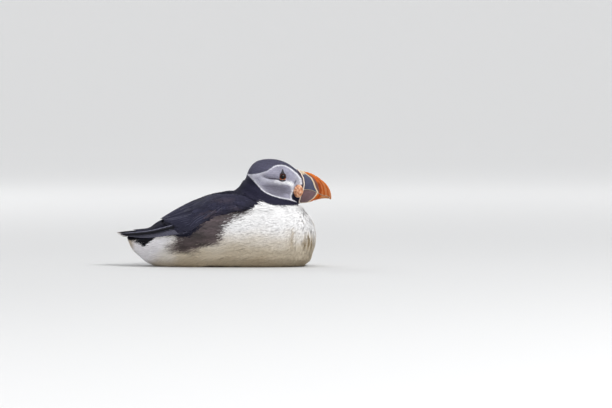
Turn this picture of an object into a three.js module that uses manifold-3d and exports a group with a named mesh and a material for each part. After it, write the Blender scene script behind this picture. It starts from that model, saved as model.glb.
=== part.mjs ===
import Module from 'manifold-3d';
import * as THREE from 'three';
import { ParametricGeometry } from 'three/addons/geometries/ParametricGeometry.js';
import { mergeVertices } from 'three/addons/utils/BufferGeometryUtils.js';

// An Atlantic puffin in breeding plumage, lying on its belly, life-size.
// Millimetres, +Z up. The bill points along -Y and the bird's left side is at +X.
// The origin is on the floor, under the middle of its length.

const wasm = await Module();
wasm.setup();

// Driving dimensions.
const LENGTH = 231;
const BILL_TIP_Y = -LENGTH / 2;
const TAIL_TIP_Y = LENGTH / 2;
const BREAST_Y = -99;
const CROWN_Z = 115.3;
const BACK_Z = 81.6;
const BODY_HALF_WIDTH = 44.5;
const HEAD_HALF_WIDTH = 21.4;
const BILL_HALF_WIDTH = 6.6;
const EYE_RADIUS = 4.7;
const EYE_PLACE = new THREE.Vector3(14.7, -62.7, 96.1);
const ROSETTE_PLACE = new THREE.Vector3(8.4, -78.8, 81.1);
const ROSETTE_SIZE = new THREE.Vector3(5.2, 5.8, 6.8);
const TARSUS_LENGTH = 26;
const TARSUS_RADII = { ankle: 3.1, foot: 2.4 };
const TARSUS_HEIGHT = 2.6;
const TARSUS_SHIFT = 0.5;
const TOES = [
  { name: 'inner', length: 25, angle: -14 },
  { name: 'middle', length: 31, angle: 0 },
  { name: 'outer', length: 30, angle: 14 },
];
const TOE_RADIUS = 1.9;
const TOE_HEIGHT = 1.3;
const CLAW_LENGTH = 6.5;
const FOOT_PLACE = new THREE.Vector3(14.5, 22, 0);
const WEB_THICKNESS = 1.2;
const WEB_DIP = 0.86;
const TOE_HOLLOW = { halfWidth: 10.5, height: 3.8 };
const TARSUS_HOLLOW = { halfWidth: 4, height: 7 };
const GAP = 0.3;
const FLOOR_DEPTH = 20;
const REACH = 400;
const OVER_HEAD_Z = 130;
const UNDER_BILL_Z = 40;
const TRUNK_SQUARENESS = 2.2;

// A station is a section across the body. Its top and bottom are [y, z] in the middle of the
// piece, its side is [x, z] at the widest point, and x moves the whole section sideways.
// Stations run from the bill's end of the bird to the tail's.
const TRUNK_STATIONS = [
  { top: [BREAST_Y, 34], bottom: [BREAST_Y, 30], side: [3, 32] },
  { top: [-98, 42.5], bottom: [-98, 21.5], side: [15, 32] },
  { top: [-94.3, 51.5], bottom: [-94.7, 12.5], side: [24.5, 32.5] },
  { top: [-87, 61.3], bottom: [-88.5, 2], side: [32, 33] },
  { top: [-75, 68], bottom: [-77, -4], side: [38.8, 34] },
  { top: [-54, 75], bottom: [-55, -6], side: [43.5, 35] },
  { top: [-30, 80], bottom: [-30, -6.5], side: [BODY_HALF_WIDTH, 36] },
  { top: [-6, BACK_Z], bottom: [-6, -6.5], side: [44.2, 37] },
  { top: [16, 77], bottom: [16, -6.5], side: [42.8, 37] },
  { top: [38, 66.5], bottom: [38, -6], side: [38.8, 36] },
  { top: [58, 54.8], bottom: [58, -4.5], side: [33, 34] },
  { top: [75, 45.5], bottom: [76, 0.5], side: [27.5, 31] },
  { top: [90, 34], bottom: [90, 9], side: [21.5, 27] },
  { top: [99.5, 32.5], bottom: [97.5, 18], side: [15.5, 27.5] },
  { top: [104, 31.5], bottom: [103, 28], side: [8, 30] },
];
const NECK_STATIONS = [
  { top: [-30, 103], bottom: [-72, 84], side: [17, 95] },
  { top: [-23, 94], bottom: [-76, 74], side: [20, 87] },
  { top: [-18.5, 89], bottom: [-78, 68.5], side: [23, 80] },
  { top: [-13, 83.5], bottom: [-80, 66], side: [28, 73] },
  { top: [-9, 76], bottom: [-83, 62.5], side: [35, 66] },
  { top: [-12, 58], bottom: [-84, 50], side: [36, 54] },
];
const HEAD_STATIONS = [
  { top: [-90, 100.5], bottom: [-88, 67.2], side: [6, 82] },
  { top: [-84, 102.2], bottom: [-83, 66.8], side: [8, 83] },
  { top: [-77.4, 104.2], bottom: [-77, 66], side: [11.4, 84] },
  { top: [-72.5, 108], bottom: [-71.5, 65.5], side: [15, 86] },
  { top: [-66, 111.8], bottom: [-65, 64.5], side: [18.4, 88.5] },
  { top: [-57, 114.7], bottom: [-57, 63.5], side: [20.8, 90] },
  { top: [-47, CROWN_Z], bottom: [-48, 63], side: [HEAD_HALF_WIDTH, 90] },
  { top: [-37, 113.8], bottom: [-40, 64], side: [20.8, 90] },
  { top: [-30, 109], bottom: [-33, 67], side: [18.8, 89] },
  { top: [-25.6, 101.5], bottom: [-28, 72], side: [14.5, 88] },
  { top: [-23.2, 94], bottom: [-25, 80], side: [8, 88] },
];
const BILL_STATIONS = [
  { top: [BILL_TIP_Y, 74.2], bottom: [-115, 71.2], side: [0.9, 73] },
  { top: [-114.8, 79.2], bottom: [-112.5, 72.3], side: [1.9, 74.6] },
  { top: [-112.8, 84.2], bottom: [-109, 72.6], side: [2.6, 75.4] },
  { top: [-109.5, 88.8], bottom: [-105, 72.3], side: [3.4, 76.4] },
  { top: [-105, 92.8], bottom: [-100.5, 71.2], side: [4.1, 77.8] },
  { top: [-100, 96.5], bottom: [-96, 69.8], side: [4.8, 79.2] },
  { top: [-94.6, 99.4], bottom: [-91, 68.4], side: [5.4, 80.7] },
  { top: [-88, 101.5], bottom: [-86, 67.6], side: [5.9, 81.5] },
  { top: [-81.7, 103], bottom: [-80.5, 67.5], side: [6.3, 82] },
  { top: [-74, 104.3], bottom: [-76, 67.2], side: [BILL_HALF_WIDTH, 82] },
];
const TAIL_STATIONS = [
  { top: [66, 44], bottom: [66, 39], side: [9, 41.5] },
  { top: [76, 42], bottom: [76, 37.6], side: [12, 39.8] },
  { top: [92, 38.8], bottom: [92, 35.4], side: [16, 37.1] },
  { top: [106, 37.2], bottom: [106, 34.6], side: [18.5, 35.9] },
  { top: [112, 36.6], bottom: [112, 34.6], side: [15.5, 35.6] },
  { top: [TAIL_TIP_Y, 36.2], bottom: [TAIL_TIP_Y, 34.6], side: [8.5, 35.4] },
];
const TAIL_DROOP = 0.014;
const PRIMARY_STATIONS = [
  { x: 38.5, top: [30, 46], bottom: [30, 40], side: [0.6, 43] },
  { x: 37.5, top: [42, 48], bottom: [42, 35], side: [2.6, 41.5] },
  { x: 34.5, top: [56, 47], bottom: [56, 35.5], side: [3.8, 41] },
  { x: 26.5, top: [76, 41.4], bottom: [76, 32], side: [3.6, 36.5] },
  { x: 19, top: [94, 39.7], bottom: [94, 32.2], side: [2.6, 36] },
  { x: 13.5, top: [106, 38.6], bottom: [106, 34.2], side: [1.8, 36.4] },
  { x: 11, top: [111.5, 37.8], bottom: [111.5, 35.8], side: [1.1, 36.8] },
];
const PRIMARY_LEAN = 0.7;
const PRIMARY_LEAN_HEIGHT = 38;

// The folded wing lies on the trunk. Each row is a place counted in trunk stations, the
// distance of the wing's upper edge from the midline, the height of its lower edge, and how
// far its middle stands off the trunk.
const WING_ROWS = [
  { at: 4.95, upperX: 31, lowerZ: 59.5, lift: 1.2 },
  { at: 5.15, upperX: 28, lowerZ: 57.5, lift: 2.2 },
  { at: 5.6, upperX: 25, lowerZ: 57, lift: 3 },
  { at: 6.3, upperX: 22, lowerZ: 57.5, lift: 3.5 },
  { at: 7.3, upperX: 17, lowerZ: 55, lift: 3.6 },
  { at: 8.0, upperX: 12.5, lowerZ: 48, lift: 3.6 },
  { at: 8.7, upperX: 9, lowerZ: 36, lift: 3.4 },
  { at: 9.2, upperX: 7.5, lowerZ: 33, lift: 3.2 },
  { at: 9.8, upperX: 7, lowerZ: 38, lift: 2.8 },
  { at: 10.4, upperX: 9, lowerZ: 47, lift: 1.8 },
];
const WING_EDGE = 1.1;
const WING_ROOT = -2;

// Where the body is parted, as two [y, z] points of a straight cut in the side view.
const CUTS = {
  head: [[-10, 103], [-95, 59]],
  neck: [[0, 85.8], [-95, 61.1]],
  breast: [[-46, 100], [-50, -20]],
  rump: [[66, 100], [60, -20]],
  primaries: [[70, 54.3], [36, 26]],
  shank: [[23.6, 20], [23.6, -20]],
};

// Side-view lines as [y, z]: the mouth, and the rear and front edges of the cere.
const MOUTH_LINE = [
  [-60, 82], [-84.9, 81.8], [-90.3, 81.7], [-94.6, 80.9], [-98.9, 79], [-101.6, 77.4],
  [-105.4, 75.8], [-110.5, 74.8], [-112.8, 73.4], [-113.4, 66],
];
const CERE_REAR = [
  [-66, OVER_HEAD_Z], [-77.4, 104.5], [-81.9, 99.5], [-84.3, 94], [-85.1, 88], [-84, 82],
  [-81.6, 76], [-79.8, 70], [-80.2, UNDER_BILL_Z],
];
const CERE_WIDTH = 1.7;
const CERE_RISE = 0.5;

const mixed = (from, to, share) => from + (to - from) * share;
const power = (value, exponent) => Math.sign(value) * Math.abs(value) ** exponent;

// The three rails of a row of stations, each grown outwards by the same amount.
function railsOf(stations, grow) {
  const rails = { top: [], bottom: [], side: [], middle: [] };
  for (const { x = 0, top, bottom, side } of stations) {
    const middle = new THREE.Vector3(x, (top[0] + bottom[0]) / 2, side[1]);
    const upper = new THREE.Vector3(x, top[0], top[1]);
    const lower = new THREE.Vector3(x, bottom[0], bottom[1]);
    upper.addScaledVector(upper.clone().sub(middle).normalize(), grow);
    lower.addScaledVector(lower.clone().sub(middle).normalize(), grow);
    rails.top.push(upper);
    rails.bottom.push(lower);
    rails.side.push(middle.clone().setX(x + side[0] + grow));
    rails.middle.push(middle);
  }
  for (const rail of Object.values(rails)) {
    const first = Math.sign(rail[0].y - rail[1].y);
    rail[0].y += first * grow;
    rail[rail.length - 1].y -= first * grow;
  }
  const curve = (points) => new THREE.CatmullRomCurve3(points);
  return {
    top: curve(rails.top),
    bottom: curve(rails.bottom),
    side: curve(rails.side),
    middle: curve(rails.middle),
  };
}

// A point of the section at a share of the way along the rails. The angle runs from the top
// (0) over the side (90 degrees) to the bottom, and lift moves the point outwards.
function sectionPoint(rails, share, angle, squareness, lift = 0) {
  const middle = rails.middle.getPoint(share);
  const rail = Math.cos(angle) >= 0 ? rails.top : rails.bottom;
  const upright = rail.getPoint(share).sub(middle);
  const across = rails.side.getPoint(share).sub(middle);
  const rise = Math.abs(power(Math.cos(angle), 2 / squareness));
  const reach = power(Math.sin(angle), 2 / squareness);
  const outward = upright.multiplyScalar(rise).addScaledVector(across, reach);
  const length = outward.length();
  return middle.addScaledVector(outward, 1 + lift / Math.max(length, 1e-6));
}

// A closed body through stations. Its first and last rows shrink to a point as flat caps.
function loft(stations, { squareness = 2.1, slices = 28, stacks = 24, grow = 0 } = {}) {
  const rails = railsOf(stations, grow);
  const surface = (u, v, target) => {
    const row = v * stacks;
    const share = THREE.MathUtils.clamp((row - 1) / (stacks - 2), 0, 1);
    if (row < 0.5 || row > stacks - 0.5) {
      const top = rails.top.getPoint(share);
      target.copy(top.add(rails.bottom.getPoint(share)).multiplyScalar(0.5));
      return;
    }
    target.copy(sectionPoint(rails, share, (u % 1) * 2 * Math.PI, squareness));
  };
  return new ParametricGeometry(surface, slices, stacks);
}

// A solid for joining and cutting: corners merged and triangles without area dropped.
function solid(geometry) {
  const bare = new THREE.BufferGeometry();
  bare.setAttribute('position', geometry.getAttribute('position'));
  bare.setIndex(geometry.getIndex());
  const merged = mergeVertices(bare, 1e-3);
  const corners = merged.getIndex().array;
  const kept = [];
  for (let i = 0; i < corners.length; i += 3) {
    const [a, b, c] = corners.slice(i, i + 3);
    if (a !== b && b !== c && c !== a) {
      kept.push(a, b, c);
    }
  }
  const mesh = new wasm.Mesh({
    numProp: 3,
    vertProperties: merged.getAttribute('position').array,
    triVerts: new Uint32Array(kept),
  });
  return new wasm.Manifold(mesh);
}

function geometryOf(body) {
  const { vertProperties, triVerts } = body.getMesh();
  const geometry = new THREE.BufferGeometry();
  geometry.setAttribute('position', new THREE.BufferAttribute(vertProperties, 3));
  geometry.setIndex(new THREE.BufferAttribute(triVerts, 1));
  geometry.computeVertexNormals();
  return geometry;
}

function mirrored(geometry) {
  const twin = geometry.clone().scale(-1, 1, 1);
  const corners = twin.getIndex().array;
  for (let i = 0; i < corners.length; i += 3) {
    [corners[i], corners[i + 1]] = [corners[i + 1], corners[i]];
  }
  twin.computeVertexNormals();
  return twin;
}

// A side-view outline of [y, z] points, as a prism that runs right across the body.
function sidePrism(outline) {
  const shape = new THREE.Shape(outline.map(([y, z]) => new THREE.Vector2(y, z)));
  const geometry = new THREE.ExtrudeGeometry(shape, { depth: REACH, bevelEnabled: false });
  geometry.translate(0, 0, -REACH / 2);
  const turn = new THREE.Matrix4().makeBasis(
    new THREE.Vector3(0, 1, 0),
    new THREE.Vector3(0, 0, 1),
    new THREE.Vector3(1, 0, 0),
  );
  return solid(geometry.applyMatrix4(turn));
}

// Both sides of a straight cut in the side view, the side on its left first.
function partedAt(body, [[y0, z0], [y1, z1]]) {
  const along = new THREE.Vector2(y1 - y0, z1 - z0).normalize();
  const left = new THREE.Vector2(-along.y, along.x);
  const halves = [];
  for (const side of [1, -1]) {
    const block = new THREE.BoxGeometry(REACH, REACH * 2, REACH);
    const away = side * (GAP / 2 - REACH / 2);
    block.rotateX(Math.atan2(along.y, along.x));
    block.translate(0, y0 + left.x * away, z0 + left.y * away);
    halves.push(body.subtract(solid(block)));
  }
  return halves;
}

// A round, tapered length that lies along -Y from the origin.
function roundedLength(length, rootRadius, tipRadius) {
  const profile = new THREE.Path();
  profile.moveTo(0, -rootRadius);
  profile.quadraticCurveTo(rootRadius, -rootRadius, rootRadius, 0);
  profile.lineTo(tipRadius, length - tipRadius);
  profile.quadraticCurveTo(tipRadius, length, 0, length);
  return new THREE.LatheGeometry(profile.getPoints(3), 10).rotateX(Math.PI);
}

const floorBlock = () => {
  const block = new THREE.BoxGeometry(REACH, REACH, FLOOR_DEPTH);
  return solid(block.translate(0, 0, -FLOOR_DEPTH / 2));
};

const trunkSolid = (grow) => {
  const trunk = { squareness: TRUNK_SQUARENESS, slices: 32, stacks: 20, grow };
  return solid(loft(TRUNK_STATIONS, trunk));
};
const neckSolid = (grow) => solid(loft(NECK_STATIONS, { slices: 20, stacks: 9, grow }));
const headSolid = (grow) => solid(loft(HEAD_STATIONS, { slices: 24, stacks: 16, grow }));
const flesh = (grow) => trunkSolid(grow).add(neckSolid(grow)).add(headSolid(grow));

function tailSolid(grow) {
  const slab = loft(TAIL_STATIONS, { squareness: 3.6, slices: 16, stacks: 8, grow });
  const places = slab.getAttribute('position');
  for (let i = 0; i < places.count; i += 1) {
    places.setZ(i, places.getZ(i) - TAIL_DROOP * places.getX(i) ** 2);
  }
  return solid(slab);
}

// The angle at which the trunk's section stands at a distance from the midline or a height.
function trunkAngles(rails, share, { upperX, lowerZ }) {
  const middle = rails.middle.getPoint(share);
  const width = rails.side.getPoint(share).x;
  const top = rails.top.getPoint(share).z - middle.z;
  const bottom = middle.z - rails.bottom.getPoint(share).z;
  const rise = lowerZ - middle.z;
  const part = Math.abs(rise) / (rise > 0 ? top : bottom);
  const fromTop = Math.acos(Math.min(part, 1) ** (TRUNK_SQUARENESS / 2));
  return {
    upper: Math.asin(Math.min(upperX / width, 1) ** (TRUNK_SQUARENESS / 2)),
    lower: rise > 0 ? fromTop : Math.PI - fromTop,
  };
}

function wingSolid() {
  const rails = railsOf(TRUNK_STATIONS, 0);
  const row = (name) => {
    const points = WING_ROWS.map((wing) => new THREE.Vector2(wing.at, wing[name]));
    return new THREE.SplineCurve(points);
  };
  const upperX = row('upperX');
  const lowerZ = row('lowerZ');
  const lift = row('lift');
  const stacks = 14;
  const surface = (u, v, target) => {
    const share = THREE.MathUtils.clamp((v * stacks - 1) / (stacks - 2), 0, 1);
    const { x: at, y: edge } = upperX.getPoint(share);
    const along = at / (TRUNK_STATIONS.length - 1);
    const edges = { upperX: edge, lowerZ: lowerZ.getPoint(share).y };
    const { upper, lower } = trunkAngles(rails, along, edges);
    const place = (share, height) => {
      return sectionPoint(rails, along, mixed(upper, lower, share), TRUNK_SQUARENESS, height);
    };
    if (v * stacks < 0.5 || v * stacks > stacks - 0.5) {
      target.copy(place(0.5, (WING_ROOT + WING_EDGE) / 2));
      return;
    }
    const turn = u % 1;
    const across = turn < 0.5 ? turn * 2 : 2 - turn * 2;
    const crown = Math.sin(Math.PI * across) ** 0.7;
    const outer = mixed(WING_EDGE, lift.getPoint(share).y, crown);
    target.copy(place(across, turn < 0.5 ? outer : WING_ROOT));
  };
  return solid(new ParametricGeometry(surface, 14, stacks));
}

// The flight feathers behind the wing, a blade that leans in over the rump.
function primariesSolid() {
  const blade = loft(PRIMARY_STATIONS, { slices: 10, stacks: 9 });
  const places = blade.getAttribute('position');
  for (let i = 0; i < places.count; i += 1) {
    const rise = places.getZ(i) - PRIMARY_LEAN_HEIGHT;
    places.setX(i, places.getX(i) - PRIMARY_LEAN * rise);
  }
  return solid(blade);
}

// The bill with its cere: lower and upper halves of the beak, and the ridge round its base.
function billPieces() {
  const outline = { squareness: 1.9, slices: 16, stacks: 14 };
  const whole = solid(loft(BILL_STATIONS, outline));
  const ridged = solid(loft(BILL_STATIONS, { ...outline, grow: CERE_RISE }));
  const behind = (shift) => {
    const edge = CERE_REAR.map(([y, z]) => [y - shift, z]);
    return sidePrism([...edge, [0, UNDER_BILL_Z], [0, OVER_HEAD_Z]]);
  };
  const beak = whole.subtract(behind(CERE_WIDTH + GAP));
  const below = (shift) => {
    const edge = MOUTH_LINE.map(([y, z]) => [y - shift / 2, z + shift]);
    return sidePrism([...edge, [edge[0][0], UNDER_BILL_Z]]);
  };
  return {
    upper: beak.subtract(below(GAP)),
    lower: beak.intersect(below(0)),
    cere: ridged.subtract(behind(0)).intersect(behind(CERE_WIDTH)),
    headEnd: behind(-GAP),
    ridged,
  };
}

function rosetteSolid() {
  const pad = new THREE.SphereGeometry(1, 12, 8);
  pad.scale(ROSETTE_SIZE.x, ROSETTE_SIZE.y, ROSETTE_SIZE.z);
  return solid(pad.translate(ROSETTE_PLACE.x, ROSETTE_PLACE.y, ROSETTE_PLACE.z));
}

function eyeSolid(grow) {
  const ball = new THREE.SphereGeometry(EYE_RADIUS + grow, 14, 10);
  return solid(ball.translate(EYE_PLACE.x, EYE_PLACE.y, EYE_PLACE.z));
}

// One leg: the shank and the three webbed toes, flat on the floor, and a claw on each toe.
function legPieces() {
  const floor = floorBlock();
  const shank = roundedLength(TARSUS_LENGTH, TARSUS_RADII.ankle, TARSUS_RADII.foot);
  shank.scale(0.85, 1, 1.15);
  shank.translate(FOOT_PLACE.x + TARSUS_SHIFT, FOOT_PLACE.y + TARSUS_LENGTH, TARSUS_HEIGHT);
  let foot = solid(shank);
  const webCorners = [];
  const claws = {};
  for (const { name, length, angle } of TOES) {
    const turn = THREE.MathUtils.degToRad(angle);
    const place = (geometry) => {
      geometry.rotateZ(turn);
      return geometry.translate(FOOT_PLACE.x, FOOT_PLACE.y, 0);
    };
    const toe = roundedLength(length, TOE_RADIUS, TOE_RADIUS * 0.7).translate(0, 0, TOE_HEIGHT);
    foot = foot.add(solid(place(toe)));
    webCorners.push([length - 2.5, turn]);
    const claw = loft([
      { top: [-CLAW_LENGTH, 0.5], bottom: [-CLAW_LENGTH, 0], side: [0.25, 0.25] },
      { top: [-CLAW_LENGTH * 0.75, 1.4], bottom: [-CLAW_LENGTH * 0.75, 0.1], side: [0.6, 0.7] },
      { top: [-CLAW_LENGTH * 0.35, 2.3], bottom: [-CLAW_LENGTH * 0.35, 0.3], side: [0.9, 1.3] },
      { top: [0, 2.4], bottom: [0, 0.2], side: [1, 1.3] },
    ], { slices: 6, stacks: 6 });
    claw.translate(0, -length - GAP, 0);
    claws[name] = solid(place(claw)).subtract(floor);
  }
  const web = new THREE.Shape();
  web.moveTo(0, 3);
  for (const [i, [reach, turn]] of webCorners.entries()) {
    const tip = [Math.sin(turn) * reach, -Math.cos(turn) * reach];
    if (i > 0) {
      const between = (webCorners[i - 1][1] + turn) / 2;
      const dip = reach * WEB_DIP;
      web.quadraticCurveTo(Math.sin(between) * dip, -Math.cos(between) * dip, ...tip);
    } else {
      web.lineTo(...tip);
    }
  }
  const sheet = new THREE.ExtrudeGeometry(web, {
    depth: WEB_THICKNESS,
    bevelEnabled: false,
    curveSegments: 6,
  });
  foot = foot.add(solid(sheet.translate(FOOT_PLACE.x, FOOT_PLACE.y, GAP)));
  const [leg, toes] = partedAt(foot.subtract(floor), CUTS.shank);
  return { leg, toes, claws };
}

// The hollow of the belly over one folded leg: low over the toes, higher over the shank.
function legHollow() {
  const hollow = ({ halfWidth, height }, rear, front) => {
    const block = new THREE.BoxGeometry(halfWidth * 2, rear - front, height * 2);
    return solid(block.translate(FOOT_PLACE.x + TARSUS_SHIFT, (rear + front) / 2, 0));
  };
  const front = FOOT_PLACE.y - TOES[1].length - CLAW_LENGTH - 2;
  const rear = FOOT_PLACE.y + TARSUS_LENGTH + 4.5;
  const toes = hollow(TOE_HOLLOW, FOOT_PLACE.y + 4, front);
  return toes.add(hollow(TARSUS_HOLLOW, rear, FOOT_PLACE.y - 1));
}

const COLOURS = {
  slate: { color: 0x4c4a5e, roughness: 0.75 },
  blackFeather: { color: 0x26262f, roughness: 0.6 },
  whiteFeather: { color: 0xe9e4da, roughness: 0.85 },
  face: { color: 0xb4b2bd, roughness: 0.85 },
  orangeHorn: { color: 0xd87a1c, roughness: 0.4 },
  redHorn: { color: 0xb8502a, roughness: 0.45 },
  cream: { color: 0xe6d6b4, roughness: 0.6 },
  orangeSkin: { color: 0xe08a4c, roughness: 0.6 },
  blackHorn: { color: 0x1b1a1c, roughness: 0.4 },
  eye: { color: 0x17100f, roughness: 0.08 },
};

const bird = new THREE.Group();

function addNode(name, geometry, colour) {
  const material = new THREE.MeshStandardMaterial({ ...COLOURS[colour], metalness: 0 });
  const mesh = new THREE.Mesh(geometry, material);
  mesh.name = name;
  bird.add(mesh);
}

function addPair(name, body, colour) {
  const geometry = geometryOf(body);
  addNode(`left_${name}`, geometry, colour);
  addNode(`right_${name}`, mirrored(geometry), colour);
}

const bill = billPieces();
const grownFlesh = flesh(GAP);
const tail = tailSolid(0).subtract(grownFlesh);

// Flesh: the whole body, less its hollows, parted into head, neck, breast, trunk and rump.
const hollows = solid(mirrored(geometryOf(legHollow()))).add(legHollow());
const eyeSocket = eyeSolid(GAP);
const sockets = eyeSocket.add(solid(mirrored(geometryOf(eyeSocket))));
const body = flesh(0).subtract(floorBlock()).subtract(hollows).subtract(sockets);
const [lowerBody, headWhole] = partedAt(body, CUTS.head);
const [trunkWhole, neck] = partedAt(lowerBody, CUTS.neck);
const [bodyRear, breast] = partedAt(trunkWhole, CUTS.breast);
const [rump, trunk] = partedAt(bodyRear, CUTS.rump);
addNode('head', geometryOf(headWhole.intersect(bill.headEnd)), 'face');
addNode('neck', geometryOf(neck), 'slate');
addNode('breast', geometryOf(breast), 'whiteFeather');
addNode('trunk', geometryOf(trunk), 'whiteFeather');
addNode('rump', geometryOf(rump), 'whiteFeather');

// Tail and wings.
addNode('tail', geometryOf(tail), 'blackFeather');
const wholeWing = wingSolid().add(primariesSolid()).subtract(grownFlesh).subtract(tailSolid(GAP));
const [primaries, arm] = partedAt(wholeWing, CUTS.primaries);
addPair('wing', arm, 'slate');
addPair('primaries', primaries, 'blackFeather');

// Bill, cere and gape rosettes.
addNode('upper_bill', geometryOf(bill.upper), 'orangeHorn');
addNode('lower_bill', geometryOf(bill.lower), 'redHorn');
addNode('cere', geometryOf(bill.cere), 'cream');
const rosette = rosetteSolid().subtract(headSolid(GAP)).subtract(bill.ridged);
addPair('rosette', rosette, 'orangeSkin');
addPair('eye', eyeSolid(0), 'eye');

// Legs, feet and claws, folded flat under the belly.
const { leg, toes, claws } = legPieces();
addPair('shank', leg, 'orangeSkin');
addPair('foot', toes, 'orangeSkin');
for (const [name, claw] of Object.entries(claws)) {
  addPair(`${name}_claw`, claw, 'blackHorn');
}

export default bird;
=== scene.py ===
import math

import bpy
import numpy as np
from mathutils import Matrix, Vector
from mathutils.bvhtree import BVHTree


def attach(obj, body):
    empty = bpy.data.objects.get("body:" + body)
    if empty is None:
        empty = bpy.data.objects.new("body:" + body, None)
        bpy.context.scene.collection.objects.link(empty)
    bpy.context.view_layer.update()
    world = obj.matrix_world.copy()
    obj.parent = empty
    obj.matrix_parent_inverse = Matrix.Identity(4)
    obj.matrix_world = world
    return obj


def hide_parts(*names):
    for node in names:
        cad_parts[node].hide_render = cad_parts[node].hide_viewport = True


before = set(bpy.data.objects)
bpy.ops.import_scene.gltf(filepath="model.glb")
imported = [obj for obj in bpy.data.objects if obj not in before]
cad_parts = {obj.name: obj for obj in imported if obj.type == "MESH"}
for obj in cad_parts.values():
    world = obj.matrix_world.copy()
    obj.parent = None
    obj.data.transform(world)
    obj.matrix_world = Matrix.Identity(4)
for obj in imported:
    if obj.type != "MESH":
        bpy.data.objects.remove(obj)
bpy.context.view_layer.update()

# An Atlantic puffin in breeding plumage, lying on its belly. The bill points along -Y and the
# bird's left side is at +X. Shapes are worked out in millimetres, and MM turns them into metres.

MM = 0.001
RNG = np.random.default_rng(4)

FLESH = ["head", "neck", "breast", "trunk", "rump", "left_wing", "right_wing"]
HORN = ["upper_bill", "lower_bill", "cere"]
EYES = ["left_eye", "right_eye"]

# Depth of the coat over the skin.
BODY_COAT = 2.4
HEAD_COAT = 0.75
WING_COAT = 1.5
UNDER_HORN = 1.0
THINNER_AT_TAIL = 0.65
THINNER_AT_FLOOR = 0.6
# The heights over which the skin changes from throat to bill.
BILL_FOOT = (62, 66)
SKIN_CELL = 1.0
JOINING_SWELL = 0.3
SKIN_OVER_FLOOR = 0.4
# The skin is painted darker than the coat's markings: painted shade in the gaps between the
# tufts.
SKIN_PAINTED_SHADE = 0.88

# How close the small feathers stand, and how far their shading follows the skin's.
COAT_CROWD = 4.4
COAT_LEAN = 0.92

EYE_PLACE = np.array([14.7, -62.7, 96.1])
EYE_RADIUS = 4.7
ROSETTE_PLACE = np.array([8.4, -78.8, 81.1])
ROSETTE_SIZE = np.array([5.2, 5.8, 6.8])
# The height of the line along the body that the wings are measured round.
AXIS_HEIGHT = 38.0
# How far out the feet stand, as a share of how far out the CAD part's are.
FOOT_TUCK = 0.9
TAIL_ROOT = 66.0
TAIL_TIP = 115.2

# Side-view lines as (y, z). HEAD_CUT is where the head meets the neck, and CERE_REAR gives a y
# for each z.
HEAD_CUT = ((-10.0, 103.0), (-95.0, 59.0))
CERE_REAR = ((-79.8, 70.0), (-81.6, 76.0), (-84.0, 82.0), (-85.1, 88.0), (-84.3, 94.0),
             (-81.9, 99.5), (-77.4, 104.5))
FACE = ((-24.2, 100.3), (-30.0, 98.9), (-35.5, 99.4), (-41.0, 100.5), (-46.2, 102.1),
        (-50.5, 104.8), (-53.8, 107.0), (-58.1, 108.3), (-62.4, 108.6), (-66.7, 107.7),
        (-71.0, 105.4), (-75.3, 102.1), (-79.3, 98.9), (-82.6, 94.6), (-83.8, 89.2),
        (-82.5, 86.0), (-74.5, 81.0), (-72.8, 76.0), (-73.0, 71.6), (-77.6, 69.4),
        (-77.4, 68.3), (-72.4, 69.9), (-68.8, 71.2),
        (-60.2, 73.1), (-51.6, 75.8), (-45.2, 79.0), (-40.9, 82.2), (-36.6, 87.6),
        (-32.8, 91.9), (-29.0, 95.7))
DARK_ABOVE = ((-100.0, 64.5), (-79.6, 64.5), (-60.2, 65.0), (-49.5, 66.0), (-41.9, 69.0),
              (-36.0, 65.5), (-30.1, 63.4), (-17.2, 60.2), (-6.5, 58.6), (2.2, 55.9),
              (9.7, 51.6), (17.2, 48.4), (22.6, 43.0), (28.0, 37.6), (34.4, 33.6),
              (43.0, 33.3), (58.0, 34.0), (70.0, 33.0), (82.0, 30.5), (104.0, 30.5))
FLANK = ((-28.7, 70.0), (-6.5, 68.0), (9.7, 62.0), (22.6, 54.0), (34.4, 46.0), (45.0, 42.0),
         (50.5, 28.0), (55.9, 22.6), (58.1, 17.2), (49.5, 17.2), (31.2, 17.2), (20.4, 20.4),
         (9.7, 24.7), (2.2, 28.0), (-1.1, 36.6), (-6.5, 45.2), (-15.1, 52.7), (-28.0, 56.9))
DUSKY_PATCH = ((54.0, 25.0), (66.0, 28.0))
# The dark wedge under the tail: partly the tail's dark outer feathers, partly painted shade.
TAIL_AND_SHADOW_WEDGE = ((70.0, 40.0), (112.0, 40.0), (105.0, 29.4), (95.0, 28.2), (88.0, 26.0),
              (82.0, 22.6), (78.5, 27.0), (70.0, 31.5))
EYE_CREASE = ((-60.0, 93.2), (-55.9, 94.1), (-51.6, 94.3), (-47.3, 95.0), (-42.0, 96.8))
BRIGHT_FOLD = ((-56.5, 91.6), (-62.0, 90.9), (-67.0, 90.9), (-71.0, 89.8), (-73.4, 87.4),
               (-74.4, 84.0))
DARK_FLECK = ((-76.2, 89.4), (-77.3, 91.6))

# Bill markings, each as y for each z.
PLATE_EDGE = ((-100.5, 79.6), (-97.8, 84.9), (-96.2, 90.3), (-93.5, 95.1), (-88.2, 98.9),
              (-85.4, 101.5))
BAND_EDGE = ((-102.1, 78.5), (-102.7, 81.7), (-101.0, 88.2), (-97.8, 93.5), (-93.5, 97.3),
             (-88.0, 100.3))
FIRST_GROOVE = ((-107.5, 79.6), (-106.4, 86.0), (-103.2, 91.4), (-98.5, 95.6))
SECOND_GROOVE = ((-111.8, 77.4), (-111.3, 82.8), (-108.6, 88.2), (-104.5, 92.0))
LOWER_PLATE_EDGE = ((-91.0, 69.4), (-96.2, 73.1), (-99.6, 77.6))
LOWER_BAND_EDGE = ((-95.5, 69.4), (-100.3, 73.1), (-103.4, 77.6))
CULMEN = ((-115.5, 74.2), (-114.8, 79.2), (-112.8, 84.2), (-109.5, 88.8), (-105.0, 92.8),
          (-100.0, 96.5), (-94.6, 99.4), (-88.0, 101.5), (-81.7, 103.0))
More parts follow.
